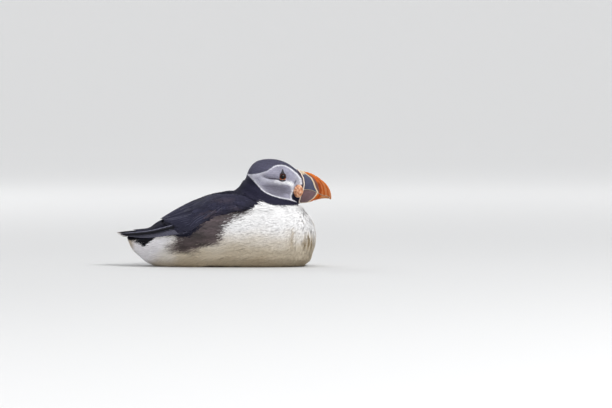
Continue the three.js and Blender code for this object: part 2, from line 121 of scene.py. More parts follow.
# The lower bill's bottom line, as its rise over the chin for each distance ahead.
CHIN_HEIGHT = 67.6
CHIN_RISE = ((80, 0), (90, 0.6), (96, 2.2), (100, 3.6), (109, 4.6), (115, 4.6))
MOUTH = ((-84.9, 81.8), (-90.3, 81.7), (-94.6, 80.9), (-98.9, 79.0), (-101.6, 77.4),
         (-105.4, 75.8), (-110.5, 74.8), (-112.8, 73.4))


def linear(red, green, blue):
    """A colour's linear values, from its shade on a screen."""
    shade = np.array([red, green, blue], float) / 255
    return np.where(shade <= 0.04045, shade / 12.92, ((shade + 0.055) / 1.055) ** 2.4)


WHITE = linear(247, 246, 246)
CREAM = linear(208, 194, 170)
BEIGE = linear(176, 158, 132)
UNDERTAIL = linear(240, 238, 244)
STAIN = linear(140, 116, 76)
FLANK_BROWN = linear(77, 65, 68)
FACE_GREY = linear(158, 156, 173)
CHEEK_GREY = linear(116, 114, 127)
FACE_RIM = linear(238, 238, 245)
FACE_WHITE = linear(252, 252, 255)
CREASE_DARK = linear(64, 60, 70)
CROWN = linear(82, 81, 100)
COLLAR = linear(39, 38, 56)
BACK = linear(28, 28, 43)
WING_DARK = linear(44, 44, 60)
WING_EDGE = linear(92, 92, 110)
WING_BROWN = linear(84, 72, 78)
VANE_RIM = linear(150, 150, 172)
TAIL_BLACK = linear(18, 18, 23)
TIP_BROWN = linear(150, 130, 110)
SLATE_PLATE = linear(74, 77, 98)
LOWER_PLATE = linear(110, 88, 92)
HORN_CREAM = linear(212, 193, 164)
BAND_MAUVE = linear(110, 72, 64)
ORANGE = linear(190, 88, 8)
DEEP_ORANGE = linear(124, 50, 14)
TAN_HORN = linear(166, 110, 72)
CULMEN_YELLOW = linear(196, 104, 8)
LOWER_TIP = linear(184, 122, 80)
CERE_CREAM = linear(224, 209, 194)
CERE_LINE = linear(84, 70, 82)
ROSETTE_ORANGE = linear(200, 140, 102)
# Painted shade in the rosette's folds and painted highlights on its ridges.
ROSETTE_FOLD_SHADE = linear(146, 80, 50)
ROSETTE_HIGHLIGHT = linear(234, 198, 168)
EYE_RING = linear(208, 110, 40)
EYE_RING_DARK = linear(62, 30, 24)
EYE_PLATE = linear(46, 42, 52)
IRIS_BROWN = linear(50, 24, 16)
PUPIL = linear(4, 4, 5)
FOOT_ORANGE = linear(214, 110, 50)
CLAW_BLACK = linear(26, 24, 24)


# Small sums on arrays of points.

def mixed(first, second, share):
    share = np.asarray(share)[..., None]
    return first * (1 - share) + second * share


def ramp(value, low, high):
    """0 below low, 1 above high, and smooth between them."""
    share = np.clip((value - low) / (high - low), 0, 1)
    return share * share * (3 - 2 * share)


def unit(vectors):
    return vectors / np.maximum(np.linalg.norm(vectors, axis=-1, keepdims=True), 1e-9)


def across_line(line, height):
    """The y of a side-view line at each height."""
    places = np.array(sorted(line, key=lambda place: place[1]))
    return np.interp(height, places[:, 1], places[:, 0])


def ahead_of(line, points):
    """How far points lie in front of a side-view line."""
    return across_line(line, points[:, 2]) - points[:, 1]


def border_height(y):
    """The height at which the dark back meets the pale flank."""
    places = np.array(DARK_ABOVE)
    return np.interp(y, places[:, 0], places[:, 1])


def line_distance(line, y, z, closed=False):
    """The distance in the side view from points to a line of (y, z) places."""
    places = np.array(line + line[:1] if closed else line)
    nearest = np.full(np.shape(y), 1e9)
    for start, end in zip(places[:-1], places[1:]):
        along = end - start
        share = ((y - start[0]) * along[0] + (z - start[1]) * along[1]) / (along @ along)
        share = np.clip(share, 0, 1)
        gap = np.hypot(y - start[0] - share * along[0], z - start[1] - share * along[1])
        nearest = np.minimum(nearest, gap)
    return nearest


def near_line(line, y, z, reach, fade):
    """1 on a side-view line, fading to 0 at its reach."""
    return ramp(reach - line_distance(line, y, z), 0, fade)


def inside_by(outline, y, z):
    """How far points lie inside a closed side-view outline, negative outside it."""
    places = np.array(outline)
    inside = np.zeros(np.shape(y), bool)
    for start, end in zip(places, np.roll(places, -1, axis=0)):
        crosses = (start[1] > z) != (end[1] > z)
        rise = end[1] - start[1] if end[1] != start[1] else 1e-9
        at = start[0] + (z - start[1]) / rise * (end[0] - start[0])
        inside ^= crosses & (y < at)
    return np.where(inside, 1, -1) * line_distance(outline, y, z, closed=True)


WAVES = np.random.default_rng(11).normal(size=(7, 3))
WAVE_STARTS = np.random.default_rng(12).uniform(0, 2 * math.pi, 7)


def drift(points, size, turn=0):
    """A smooth, aimless value from about -1 to 1 that changes over a size in millimetres."""
    waves = np.roll(WAVES, turn, axis=1) * (2.6 / size)
    return np.sin(points @ waves.T + WAVE_STARTS + turn).sum(axis=1) / 3.0


def mottled(colour, points, amount, size, turn=0):
    """A colour for each point, a little lighter or darker from place to place."""
    return colour * (1 + amount * drift(points, size, turn))[:, None]


def head_share(points):
    """1 on the head, 0 on the body, and between them across the neck."""
    (y0, z0), (y1, z1) = HEAD_CUT
    along = unit(np.array([y1 - y0, z1 - z0]))
    over = (points[:, 1] - y0) * along[1] - (points[:, 2] - z0) * along[0]
    return ramp(over, -13, -6) * ramp(points[:, 2], 57, 65)


def before_cere(points):
    return ahead_of(CERE_REAR, points)


# Objects and meshes.

def deselect():
    bpy.ops.object.select_all(action="DESELECT")


def select_only(piece):
    deselect()
    piece.select_set(True)
    bpy.context.view_layer.objects.active = piece


def points_of(piece):
    flat = np.empty(len(piece.data.vertices) * 3)
    piece.data.vertices.foreach_get("co", flat)
    return flat.reshape(-1, 3) / MM


def normals_of(piece):
    flat = np.empty(len(piece.data.vertices) * 3)
    piece.data.vertices.foreach_get("normal", flat)
    return flat.reshape(-1, 3)


def move_points(piece, points):
    piece.data.vertices.foreach_set("co", (points * MM).ravel())
    piece.data.update()


def swell(piece, lift):
    """Moves each point of a piece outwards by its own number of millimetres."""
    move_points(piece, points_of(piece) + normals_of(piece) * lift[:, None])


def paint(piece, colours):
    """Writes a colour for each point, in the attribute that the materials read."""
    layer = piece.data.color_attributes.get("plume")
    if layer is None:
        layer = piece.data.color_attributes.new("plume", "FLOAT_COLOR", "POINT")
    filled = np.ones((len(colours), 4), np.float32)
    filled[:, :3] = np.clip(colours, 0, 1)
    layer.data.foreach_set("color", filled.ravel())


def apply_modifier(piece, kind, **settings):
    select_only(piece)
    modifier = piece.modifiers.new(kind.title(), kind)
    for name, value in settings.items():
        setattr(modifier, name, value)
    bpy.ops.object.modifier_apply(modifier=modifier.name)


def merged_copy(name, nodes):
    """One closed mesh from copies of CAD nodes."""
    copies = []
    for node in nodes:
        twin = bpy.data.objects.new(name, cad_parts[node].data.copy())
        bpy.context.scene.collection.objects.link(twin)
        copies.append(twin)
    deselect()
    for twin in copies:
        twin.select_set(True)
    bpy.context.view_layer.objects.active = copies[0]
    if len(copies) > 1:
        bpy.ops.object.join()
    piece = bpy.context.view_layer.objects.active
    piece.name = name
    piece.data.materials.clear()
    bpy.ops.object.mode_set(mode="EDIT")
    bpy.ops.mesh.select_all(action="SELECT")
    bpy.ops.mesh.remove_doubles(threshold=1e-6)
    bpy.ops.object.mode_set(mode="OBJECT")
    return piece


def remeshed(name, nodes, cell, rounds, swollen=0.0):
    """An even, smooth mesh over copies of CAD nodes."""
    piece = merged_copy(name, nodes)
    if swollen:
        apply_modifier(piece, "DISPLACE", strength=swollen * MM, mid_level=0)
    apply_modifier(piece, "REMESH", mode="VOXEL", voxel_size=cell * MM)
    apply_modifier(piece, "SMOOTH", factor=0.5, iterations=rounds)
    select_only(piece)
    bpy.ops.object.shade_smooth()
    return piece


def array_mesh(name, points, corners):
    """A mesh from arrays of points, in millimetres, and of triangles."""
    mesh = bpy.data.meshes.new(name)
    mesh.vertices.add(len(points))
    mesh.vertices.foreach_set("co", (points * MM).astype(np.float32).ravel())
    mesh.loops.add(corners.size)
    mesh.loops.foreach_set("vertex_index", corners.astype(np.int32).ravel())
    mesh.polygons.add(len(corners))
    mesh.polygons.foreach_set("loop_start", np.arange(0, corners.size, 3, dtype=np.int32))
    mesh.update(calc_edges=True)
    mesh.polygons.foreach_set("use_smooth", np.ones(len(corners), bool))
    piece = bpy.data.objects.new(name, mesh)
    bpy.context.scene.collection.objects.link(piece)
    return piece


def finish_piece(piece, material, slot, *nodes):
    piece.data.materials.clear()
    piece.data.materials.append(material)
    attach(piece, "root")
    if nodes:
        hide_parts(*nodes)


def mirrored_piece(piece, name):
    """The same piece on the bird's right side, with its own mesh."""
    twin = bpy.data.objects.new(name, piece.data.copy())
    bpy.context.scene.collection.objects.link(twin)
    move_points(twin, points_of(twin) * np.array([-1, 1, 1]))
    twin.data.flip_normals()
    return twin


def finish_pair(left, material, slot, *parts):
    """Finishes a left piece and its mirror image. Parts are the nodes' names without a side."""
    right = mirrored_piece(left, left.name.replace("left_", "right_"))
    for side, piece in (("left", left), ("right", right)):
        finish_piece(piece, material, slot, *[f"{side}_{part}" for part in parts])


def triangles_of(piece):
    mesh = piece.data
    mesh.calc_loop_triangles()
    corners = np.empty(len(mesh.loop_triangles) * 3, np.int32)
    mesh.loop_triangles.foreach_get("vertices", corners)
    return corners.reshape(-1, 3)


def tree_of(piece):
    return BVHTree.FromPolygons(points_of(piece).tolist(), triangles_of(piece).tolist())


def nearest_on(tree, points):
    """The nearest places on a surface, and its normals there."""
    places = np.empty_like(points)
    normals = np.empty_like(points)
    for row, point in enumerate(points):
        place, normal, _, _ = tree.find_nearest(Vector(point))
        places[row] = place
        normals[row] = normal
    return places, normals


# Markings, the same for the skin and the coat.

def body_colours(points):
    y, z = points[:, 1], points[:, 2]
    streak = drift(points * np.array([1, 0.25, 1]), 5)
    # Lower down the white turns cream and then beige: partly the feathers' own staining, partly
    # painted shade towards the floor.
    low = -z + 3 * drift(points, 22) + 1.6 * streak
    rear = ramp(y, 42, 60)
    colours = mixed(WHITE, CREAM, 0.95 * (1 - 0.5 * rear) * ramp(low, -46, -16))
    colours = mixed(colours, BEIGE, 0.75 * ramp(low, -18, -2))
    ruffled = ramp(-y, 68, 78) * ramp(z, 14, 26) * ramp(54 - z, 0, 10)
    ruffled = ruffled * ramp(drift(points, 20), -0.4, 0.5)
    parting = drift(points * np.array([1, 1, 0.16]), 2.2, 2)
    colours = mixed(colours, STAIN, 0.75 * ruffled * ramp(parting, 0.2, 0.8))
    undertail = ramp(y + 0.9 * (z - 16) + 2 * streak, 56, 76) * ramp(34 - z, 0, 6)
    colours = mixed(colours, UNDERTAIL, 0.8 * undertail)
    colours = mixed(colours, BEIGE, 0.8 * ramp(y + 1.5 * streak, 90, 98))
    # A dark wedge under the tail: partly the dark outer tail feathers showing, partly painted
    # shade in the gap between the rear flank and the undertail.
    wedge = inside_by(TAIL_AND_SHADOW_WEDGE, y, z + 0.8 * streak)
    colours = mixed(colours, TAIL_BLACK, ramp(wedge, -0.5, 0.6))
    dusky = near_line(DUSKY_PATCH, y, z, 4, 3)
    colours = mixed(colours, FLANK_BROWN, 0.55 * dusky * ramp(streak, -0.3, 0.5))
    return colours, streak


def marking(points, stray=0.0):
    """The coat's colour at points. A stray of some millimetres makes the borders ragged."""
    y = points[:, 1] + stray
    z = points[:, 2] + 0.6 * stray
    colours, streak = body_colours(points)
    blotch = drift(points * np.array([1, 0.5, 1]), 9, 2)
    dapple = 1 + 0.25 * blotch + 0.3 * drift(points * np.array([1, 0.3, 1]), 3, 1)
    brown = FLANK_BROWN * dapple[:, None]
    on_flank = inside_by(FLANK, y + 1.1 * stray, z + 0.7 * stray + 2.6 * streak)
    thinned = 0.3 * ramp(on_flank, 9, 2) * ramp(34 - z, -4, 8) * ramp(blotch, -0.2, 0.6)
    colours = mixed(colours, brown, (0.96 - thinned) * ramp(on_flank, -4.6, 4.4))
    under_wing = 1.8 * ramp(points[:, 1], -18, -6) * ramp(36 - points[:, 1], 0, 8)
    dark = ramp(z - border_height(y) - under_wing, -1.0, 1.0)
    neck = ramp(points[:, 1], 0, -35)
    colours = mixed(colours, mixed(BACK, COLLAR, neck), dark)
    head = head_share(points)
    crown = ramp(points[:, 2], 92, 101) * head
    fine = points * np.array([1, 0.2, 1])
    colours = mixed(colours, mottled(CROWN, fine, 0.1, 2.0, 1), crown * dark)
    by_cere = ramp(before_cere(points), -2.4, -1.5) * ramp(points[:, 2], 84, 88)
    by_cere *= ramp(103 - points[:, 2], 0, 4)
    colours = mixed(colours, CERE_LINE, 0.9 * by_cere)
    face = inside_by(FACE, points[:, 1] + 0.25 * stray, points[:, 2] + 0.15 * stray)
    grey = face_colours(points, face)
    apart = ramp(np.abs(points[:, 0]), 1.5, 4.5)
    return mixed(colours, grey, ramp(face, -0.35, 0.35) * ramp(head, 0.02, 0.1) * apart)


def face_colours(points, face):
    """The face patch's colours, where face is how far points lie inside its edge."""
    y, z = points[:, 1], points[:, 2]
    fine = points * np.array([1, 0.2, 1])
    cheek = ramp(11 - np.hypot((y + 56) / 1.7, z - 82), -1, 7)
    grey = mixed(FACE_GREY, CHEEK_GREY, cheek)
    grey = grey * (1 + 0.07 * drift(points, 7) + 0.1 * drift(fine, 1.8, 1))[:, None]
    frayed = 0.7 * drift(fine, 2.2, 2)
    bright = near_line(BRIGHT_FOLD, y, z, 3.6 + frayed, 3.2)
    bright = bright * (0.6 + 0.35 * ramp(-y, 62, 68)) * (0.4 + 0.6 * ramp(z, 84, 88.5))
    bright = np.maximum(bright, 0.25 * ramp(-y, 72, 82))
    # Painted light: a lighter band below the crease behind the eye, over the swell of the cheek.
    painted_light_below_crease = near_line(EYE_CREASE, y, z + 3.2, 5.0, 5)
    colours = mixed(grey, FACE_RIM, 0.28 * painted_light_below_crease)
    colours = mixed(colours, FACE_WHITE, bright)
    # Painted shade: a darker band above the crease.
    above = near_line(EYE_CREASE, y, z - 2.6, 4.5, 4.5)
    colours = mixed(colours, CHEEK_GREY, 0.5 * above)
    upper_rear = ramp(y, -56, -46) * ramp(z, 90, 96)
    rim_width = 1.0 + 0.6 * ramp(-y, 62, 76)
    rim = (0.85 - 0.35 * upper_rear) * ramp(rim_width - face, -0.6, 0.5)
    pale_rear = 0.4 * ramp(y, -52, -36) * ramp(6 - face, 0, 6)
    colours = mixed(colours, FACE_RIM, np.maximum(rim, pale_rear))
    fleck = near_line(DARK_FLECK, y, z, 1.3, 0.9)
    colours = mixed(colours, CREASE_DARK, 0.65 * fleck)
    # The crease's dark line is partly its own colour and partly painted shade in the groove.
    crease = near_line(EYE_CREASE, y, z, 1.3, 0.8)
    fade = ramp(-y, 40, 52)
    return mixed(colours, CREASE_DARK, 0.95 * crease * fade)


# Materials. The barbs of the feathers are a fine grain, drawn out along the body.

BARB_GRAIN = 2600
BARB_STRETCH = (1.0, 0.2, 1.0)
BARB_HEIGHT = 0.03


def set_sockets(node, sockets):
    for socket, value in sockets.items():
        node.inputs[socket.replace("_", " ")].default_value = value
    return node


def add_node(tree, kind, **sockets):
    return set_sockets(tree.nodes.new(kind), sockets)


def new_material(name, **sockets):
    material = bpy.data.materials.new(name)
    material.use_nodes = True
    tree = material.node_tree
    return material, tree, set_sockets(tree.nodes["Principled BSDF"], sockets)


def painted(tree, shader, grain, depth, stretch=(1.0, 1.0, 1.0)):
    """Joins the painted colour, broken up by a fine grain, to the shader's base colour."""
    links = tree.links
    colour = add_node(tree, "ShaderNodeAttribute")
    colour.attribute_name = "plume"
    place = add_node(tree, "ShaderNodeTexCoord")
    stretched = add_node(tree, "ShaderNodeMapping", Scale=stretch)
    noise = add_node(tree, "ShaderNodeTexNoise", Scale=grain, Detail=3)
    spread = add_node(tree, "ShaderNodeMapRange", From_Min=0.3, From_Max=0.7,
                      To_Min=1 - depth, To_Max=1 + depth)
    tint = add_node(tree, "ShaderNodeVectorMath")
    tint.operation = "SCALE"
    links.new(place.outputs["Object"], stretched.inputs["Vector"])
    links.new(stretched.outputs["Vector"], noise.inputs["Vector"])
    links.new(noise.outputs["Fac"], spread.inputs["Value"])
    links.new(colour.outputs["Color"], tint.inputs[0])
    links.new(spread.outputs["Result"], tint.inputs["Scale"])
    links.new(tint.outputs["Vector"], shader.inputs["Base Color"])
    return noise


def relief(tree, shader, noise, height, strength=0.5):
    bump = add_node(tree, "ShaderNodeBump", Strength=strength, Distance=height * MM)
    tree.links.new(noise.outputs["Fac"], bump.inputs["Height"])
    tree.links.new(bump.outputs["Normal"], shader.inputs["Normal"])


def plumage_material(name, roughness, depth, gloss=0.2):
    material, tree, shader = new_material(name, Roughness=roughness, Specular_IOR_Level=gloss)
    noise = painted(tree, shader, BARB_GRAIN, depth, BARB_STRETCH)
    relief(tree, shader, noise, BARB_HEIGHT, 0.4)
    return material


def horn_material(name, roughness, grain, depth, height, coat=0.0, gloss=0.5):
    material, tree, shader = new_material(name, Roughness=roughness, Coat_Weight=coat,
                                          Coat_Roughness=0.25, Specular_IOR_Level=gloss)
    noise = painted(tree, shader, grain, depth)
    relief(tree, shader, noise, height)
    return material


def make_materials():
    return {
        "white": plumage_material("white_feathers", 0.88, 0.05),
        "dark": plumage_material("slate_feathers", 0.7, 0.16, 0.12),
        "face": plumage_material("face_feathers", 0.9, 0.05),
        "vane": plumage_material("wing_vanes", 0.62, 0.14, 0.11),
        "skin": plumage_material("skin_under_feathers", 0.9, 0.1),
        "bill": horn_material("bill_horn", 0.5, 700, 0.1, 0.12, 0.02, 0.18),
        "cere": horn_material("cere_skin", 0.6, 1500, 0.14, 0.2),
        "rosette": horn_material("rosette_skin", 0.5, 1400, 0.12, 0.15),
        "lid": horn_material("lid_skin", 0.5, 1600, 0.12, 0.1),
        "foot": horn_material("foot_skin", 0.5, 1300, 0.12, 0.3),
        "claw": horn_material("claw_horn", 0.35, 900, 0.1, 0.05, 0.2),
        "eye": horn_material("eyeball", 0.06, 1200, 0.08, 0.0, 0.0, 0.22),
    }


# The skin, one piece under the whole coat.

def coat_depth(points, wing=0.0):
    """How deep the skin lies under the outer surface, where wing is 1 on the wings."""
    head = head_share(points)
    depth = BODY_COAT + (HEAD_COAT - BODY_COAT) * head
    depth = depth + (WING_COAT - depth) * wing
    thin_end = ramp(points[:, 1], 88, 101)
    over_floor = ramp(14 - points[:, 2], 0, 7)
    depth = depth * (1 - THINNER_AT_TAIL * thin_end) * (1 - THINNER_AT_FLOOR * over_floor)
    horn = ramp(before_cere(points), -1.5, 0.5) * ramp(points[:, 2], *BILL_FOOT)
    return depth + (UNDER_HORN - depth) * horn


# The cheek's swell, the brow's and the crease between them, each as how far it lies below the
# crease, its half width and its height.
FACE_FOLDS = ((3.4, 2.2, 0.3), (-3.4, 2.4, 0.25), (0.0, 1.1, -1.0))


def shape_face(points, normals):
    """The folds of the head along the line behind the eye."""
    y, z = points[:, 1], points[:, 2]
    head = head_share(points)
    lift = np.zeros_like(y)
    for below, width, height in FACE_FOLDS:
        fold = np.exp(-(line_distance(EYE_CREASE, y, z + below) / width) ** 2) * head
        lift = lift + height * fold
    return points + normals * lift[:, None]


def averaged(piece, values, rounds):
    """Values for each point, evened out with its neighbours' some rounds over."""
    edges = np.empty(len(piece.data.edges) * 2, np.int32)
    piece.data.edges.foreach_get("vertices", edges)
    first, second = edges.reshape(-1, 2).T
    count = 1 + np.bincount(edges, minlength=len(values))
    for _ in range(rounds):
        near = np.bincount(first, values[second], len(values))
        near += np.bincount(second, values[first], len(values))
        values = (values + near) / count
    return values


def smoothed_skin():
    """The flesh as one even surface, smoothed and then eased back out to the CAD's size."""
    skin = remeshed("skin", FLESH + HORN + EYES, SKIN_CELL, 1, JOINING_SWELL)
    outline = tree_of(skin)
    body = 1 - head_share(points_of(skin))
    apply_modifier(skin, "SMOOTH", factor=0.5, iterations=14)
    group = skin.vertex_groups.new(name="body")
    steps = 5
    for step in range(1, steps + 1):
        chosen = np.flatnonzero(np.round(body * steps) == step)
        group.add(chosen.tolist(), step / steps, "REPLACE")
    apply_modifier(skin, "SMOOTH", factor=0.5, iterations=30, vertex_group="body")
    skin.vertex_groups.clear()
    for _ in range(2):
        points = points_of(skin)
        nearest, _ = nearest_on(outline, points)
        gap = ((nearest - points) * normals_of(skin)).sum(1)
        swell(skin, averaged(skin, gap, 24))
    return skin


def build_skin(materials):
    skin = smoothed_skin()
    points = points_of(skin)
    wing_tree = tree_of(merged_copy("wing_measure", ["left_wing", "right_wing"]))
    bpy.data.objects.remove(bpy.data.objects["wing_measure"])
    nearest, _ = nearest_on(wing_tree, points)
    gap = np.linalg.norm(nearest - points, axis=1)
    wing = ramp(gap, 2.2, 0.9) * ramp(points[:, 2] - border_height(points[:, 1]), -1.5, 0.5)
    wing *= ramp(points[:, 1], -46, -38)
    points = shape_face(points, normals_of(skin))
    move_points(skin, points)
    points = points - normals_of(skin) * (coat_depth(points, wing) + JOINING_SWELL)[:, None]
    move_points(skin, points)
    apply_modifier(skin, "SMOOTH", factor=0.4, iterations=3)
    points = clear_of_eyes(points_of(skin))
    points[:, 2] = np.maximum(points[:, 2], SKIN_OVER_FLOOR)
    move_points(skin, points)
    colours = mixed(marking(points), WING_DARK, wing)
    under_cere = ramp(before_cere(points), -0.2, 0.4) * ramp(points[:, 2], *BILL_FOOT)
    colours = mixed(colours, CERE_LINE, under_cere)
    # Painted shade: the skin shows only in the gaps between the tufts.
    paint(skin, colours * SKIN_PAINTED_SHADE)
    finish_piece(skin, materials["skin"], "white_plumage", *FLESH)
    return skin, wing


def clear_of_eyes(points):
    """Keeps the skin inside the eyeballs where they look out of it."""
    moved = points.copy()
    for side in (1, -1):
        centre = EYE_PLACE * np.array([side, 1, 1])
        away = moved - centre
        reach = np.linalg.norm(away, axis=1)
        near = reach < EYE_RADIUS + 0.2
        kept = np.minimum(reach, EYE_RADIUS - 0.8)
        moved[near] = centre + away[near] * (kept / np.maximum(reach, 1e-6))[near, None]
    return moved


# Feathers. Each is a closed vane: a ring of points across it, repeated along its spine.

def ring_faces(count, stations, ring):
    """The triangles of closed vanes, each of some stations of a ring of points."""
    triangles = []
    for station in range(stations - 1):
        for corner in range(ring):
            after = (corner + 1) % ring
            here, there = station * ring, (station + 1) * ring
            triangles.append((here + corner, here + after, there + after))
            triangles.append((here + corner, there + after, there + corner))
    end = (stations - 1) * ring
    for corner in range(1, ring - 1):
        triangles.append((0, corner + 1, corner))
        triangles.append((end, end + corner, end + corner + 1))
    one = np.array(triangles)
    starts = np.arange(count) * stations * ring
    return (starts[:, None, None] + one[None]).reshape(-1, 3)


def spine_points(knots, shares):
    """Points along curves through three knots each, the middle one halfway."""
    a, b, c = (knots[:, k, None, :] for k in range(3))
    s = shares[None, :, None]
    return a * (1 - s) * (1 - 2 * s) + b * 4 * s * (1 - s) + c * s * (2 * s - 1)


def vane_points(spines, ups, widths, outline, ring):
    """The points of vanes, as an array of vane, station, place on the ring and axis."""
    along = unit(np.gradient(spines, axis=1))
    sides = unit(np.cross(ups, along))
    lifts = np.cross(along, sides)
    half = widths[:, None] * outline / 2
    across = (half[:, :, None] * ring[:, 0])[..., None]
    rise = (half[:, :, None] * ring[:, 1])[..., None]
    return spines[:, :, None, :] + sides[:, :, None, :] * across + lifts[:, :, None, :] * rise


def bake_map(piece, vane_roots, stations, ring, centre, facing, patch=0.003):
    """The map OFBake: each vane is a small patch at its root's place on the unwrapped skin.

    The skin is unrolled from a centre inside the body, outwards from the way it faces."""
    facing = unit(np.array(facing, float))
    upward = np.array([0.0, 0.0, 1.0]) if abs(facing[2]) < 0.9 else np.array([0.0, 1.0, 0.0])
    right = unit(np.cross(upward, facing))
    upward = np.cross(facing, right)
    away = unit(vane_roots - np.array(centre, float))
    turn = np.arccos(np.clip(away @ facing, -1, 1)) / math.pi
    sideways, height = away @ right, away @ upward
    level = np.maximum(np.hypot(sideways, height), 1e-6)
    place = 0.5 + 0.48 * turn[:, None] * np.stack([sideways, height], 1) / level[:, None]
    along = (np.arange(stations) / (stations - 1) - 0.5) * patch
    across = ring[:, 0] / 2 * patch
    grid = np.stack(np.broadcast_arrays(across[None, :], along[:, None]), -1)
    spots = (place[:, None, None, :] + grid[None]).reshape(-1, 2)
    write_map(piece, spots)


def write_map(piece, spots):
    layer = piece.data.uv_layers.new(name="OFBake")
    corners = np.empty(len(piece.data.loops), np.int32)
    piece.data.loops.foreach_get("vertex_index", corners)
    layer.data.foreach_set("uv", spots[corners].astype(np.float32).ravel())


def soften(piece, normals, share):
    """Leans the shading of the vanes towards that of the skin below them."""
    own = normals_of(piece)
    blended = unit(own * (1 - share) + normals * share)
    piece.data.normals_split_custom_set_from_vertices(blended.tolist())


# A tuft's cross-section, its stations along its length and its width at each.
TUFT_RING = np.array([[1.0, 0.0], [0.0, 0.24], [-1.0, 0.0]])
TUFT_SHARES = np.array([0.0, 0.4, 0.75, 1.0])
TUFT_OUTLINE = np.array([0.55, 1.0, 0.72, 0.1])


# The length and width of a tuft on the body and on the head, and what it loses by the bill.
BODY_TUFT = (7.6, 0.95)
HEAD_TUFT = (3.0, 0.55)
MUZZLE_TRIM = (0.8, 0.13)


def tuft_size(points):
    """The length and width of the tufts at points."""
    head = head_share(points)
    muzzle = ramp(-points[:, 1], 60, 80)
    length, width = [on_body + (on_head - trim * muzzle - on_body) * head
                     for on_body, on_head, trim in zip(BODY_TUFT, HEAD_TUFT, MUZZLE_TRIM)]
    dark_back = ramp(points[:, 2] - border_height(points[:, 1]), -2, 2) * (1 - head)
    rear = ramp(points[:, 1], 50, 85)
    length = length * (1 - 0.12 * dark_back) * (1 + 0.3 * rear)
    return length, width * (1 + 0.45 * dark_back)


def lie_of_coat(points, normals):
    """The way that the tufts point, along the skin."""
    y, z = points[:, 1], points[:, 2]
    head = head_share(points)
    fall = 0.22 + 0.9 * ramp(-y, 55, 92) + 0.9 * ramp(15 - z, 0, 10)
    body = np.stack([np.zeros_like(y), np.ones_like(y), -fall], 1)
    nape = np.stack([-0.15 * points[:, 0], -16 - y, 99 - z], 1)
    face = unit(nape) + np.array([0.0, 0.25, 0.0])
    crown = np.stack([np.zeros_like(y), np.ones_like(y), -0.15 * np.ones_like(y)], 1)
    top = ramp(z, 101, 108)
    on_head = mixed(unit(face), crown, top)
    way = mixed(unit(body), unit(on_head), head)
    way = way - normals * (way * normals).sum(1)[:, None]
    return unit(way)


def sow(skin, wing, crowd):
    """Roots spread over the skin, but not on the wings, eyes, bill or rosettes."""
    corners = triangles_of(skin)
    points, normals = points_of(skin), normals_of(skin)
    a, b, c = (points[corners[:, k]] for k in range(3))
    area = np.linalg.norm(np.cross(b - a, c - a), axis=1) / 2
    middle = (a + b + c) / 3
    length, width = tuft_size(middle)
    bare = wing[corners].mean(1) > 0.75
    bare |= (before_cere(middle) > -0.5) & (middle[:, 2] > BILL_FOOT[0])
    for side in (1, -1):
        mirror = np.array([side, 1, 1])
        bare |= np.linalg.norm(middle - EYE_PLACE * mirror, axis=1) < EYE_RADIUS + 0.1
        rosette = (middle - ROSETTE_PLACE * mirror) / (ROSETTE_SIZE - 0.2)
        bare |= np.linalg.norm(rosette, axis=1) < 1
    tuft_fill = 0.62
    wanted = np.where(bare, 0, area * crowd / (length * width * tuft_fill))
    run = np.cumsum(wanted)
    picks = np.searchsorted(run, np.arange(0.5, run[-1], 1.0))
    spread = RNG.dirichlet((1, 1, 1), len(picks))
    place = (spread[:, :, None] * points[corners[picks]]).sum(1)
    return place, unit((spread[:, :, None] * normals[corners[picks]]).sum(1))


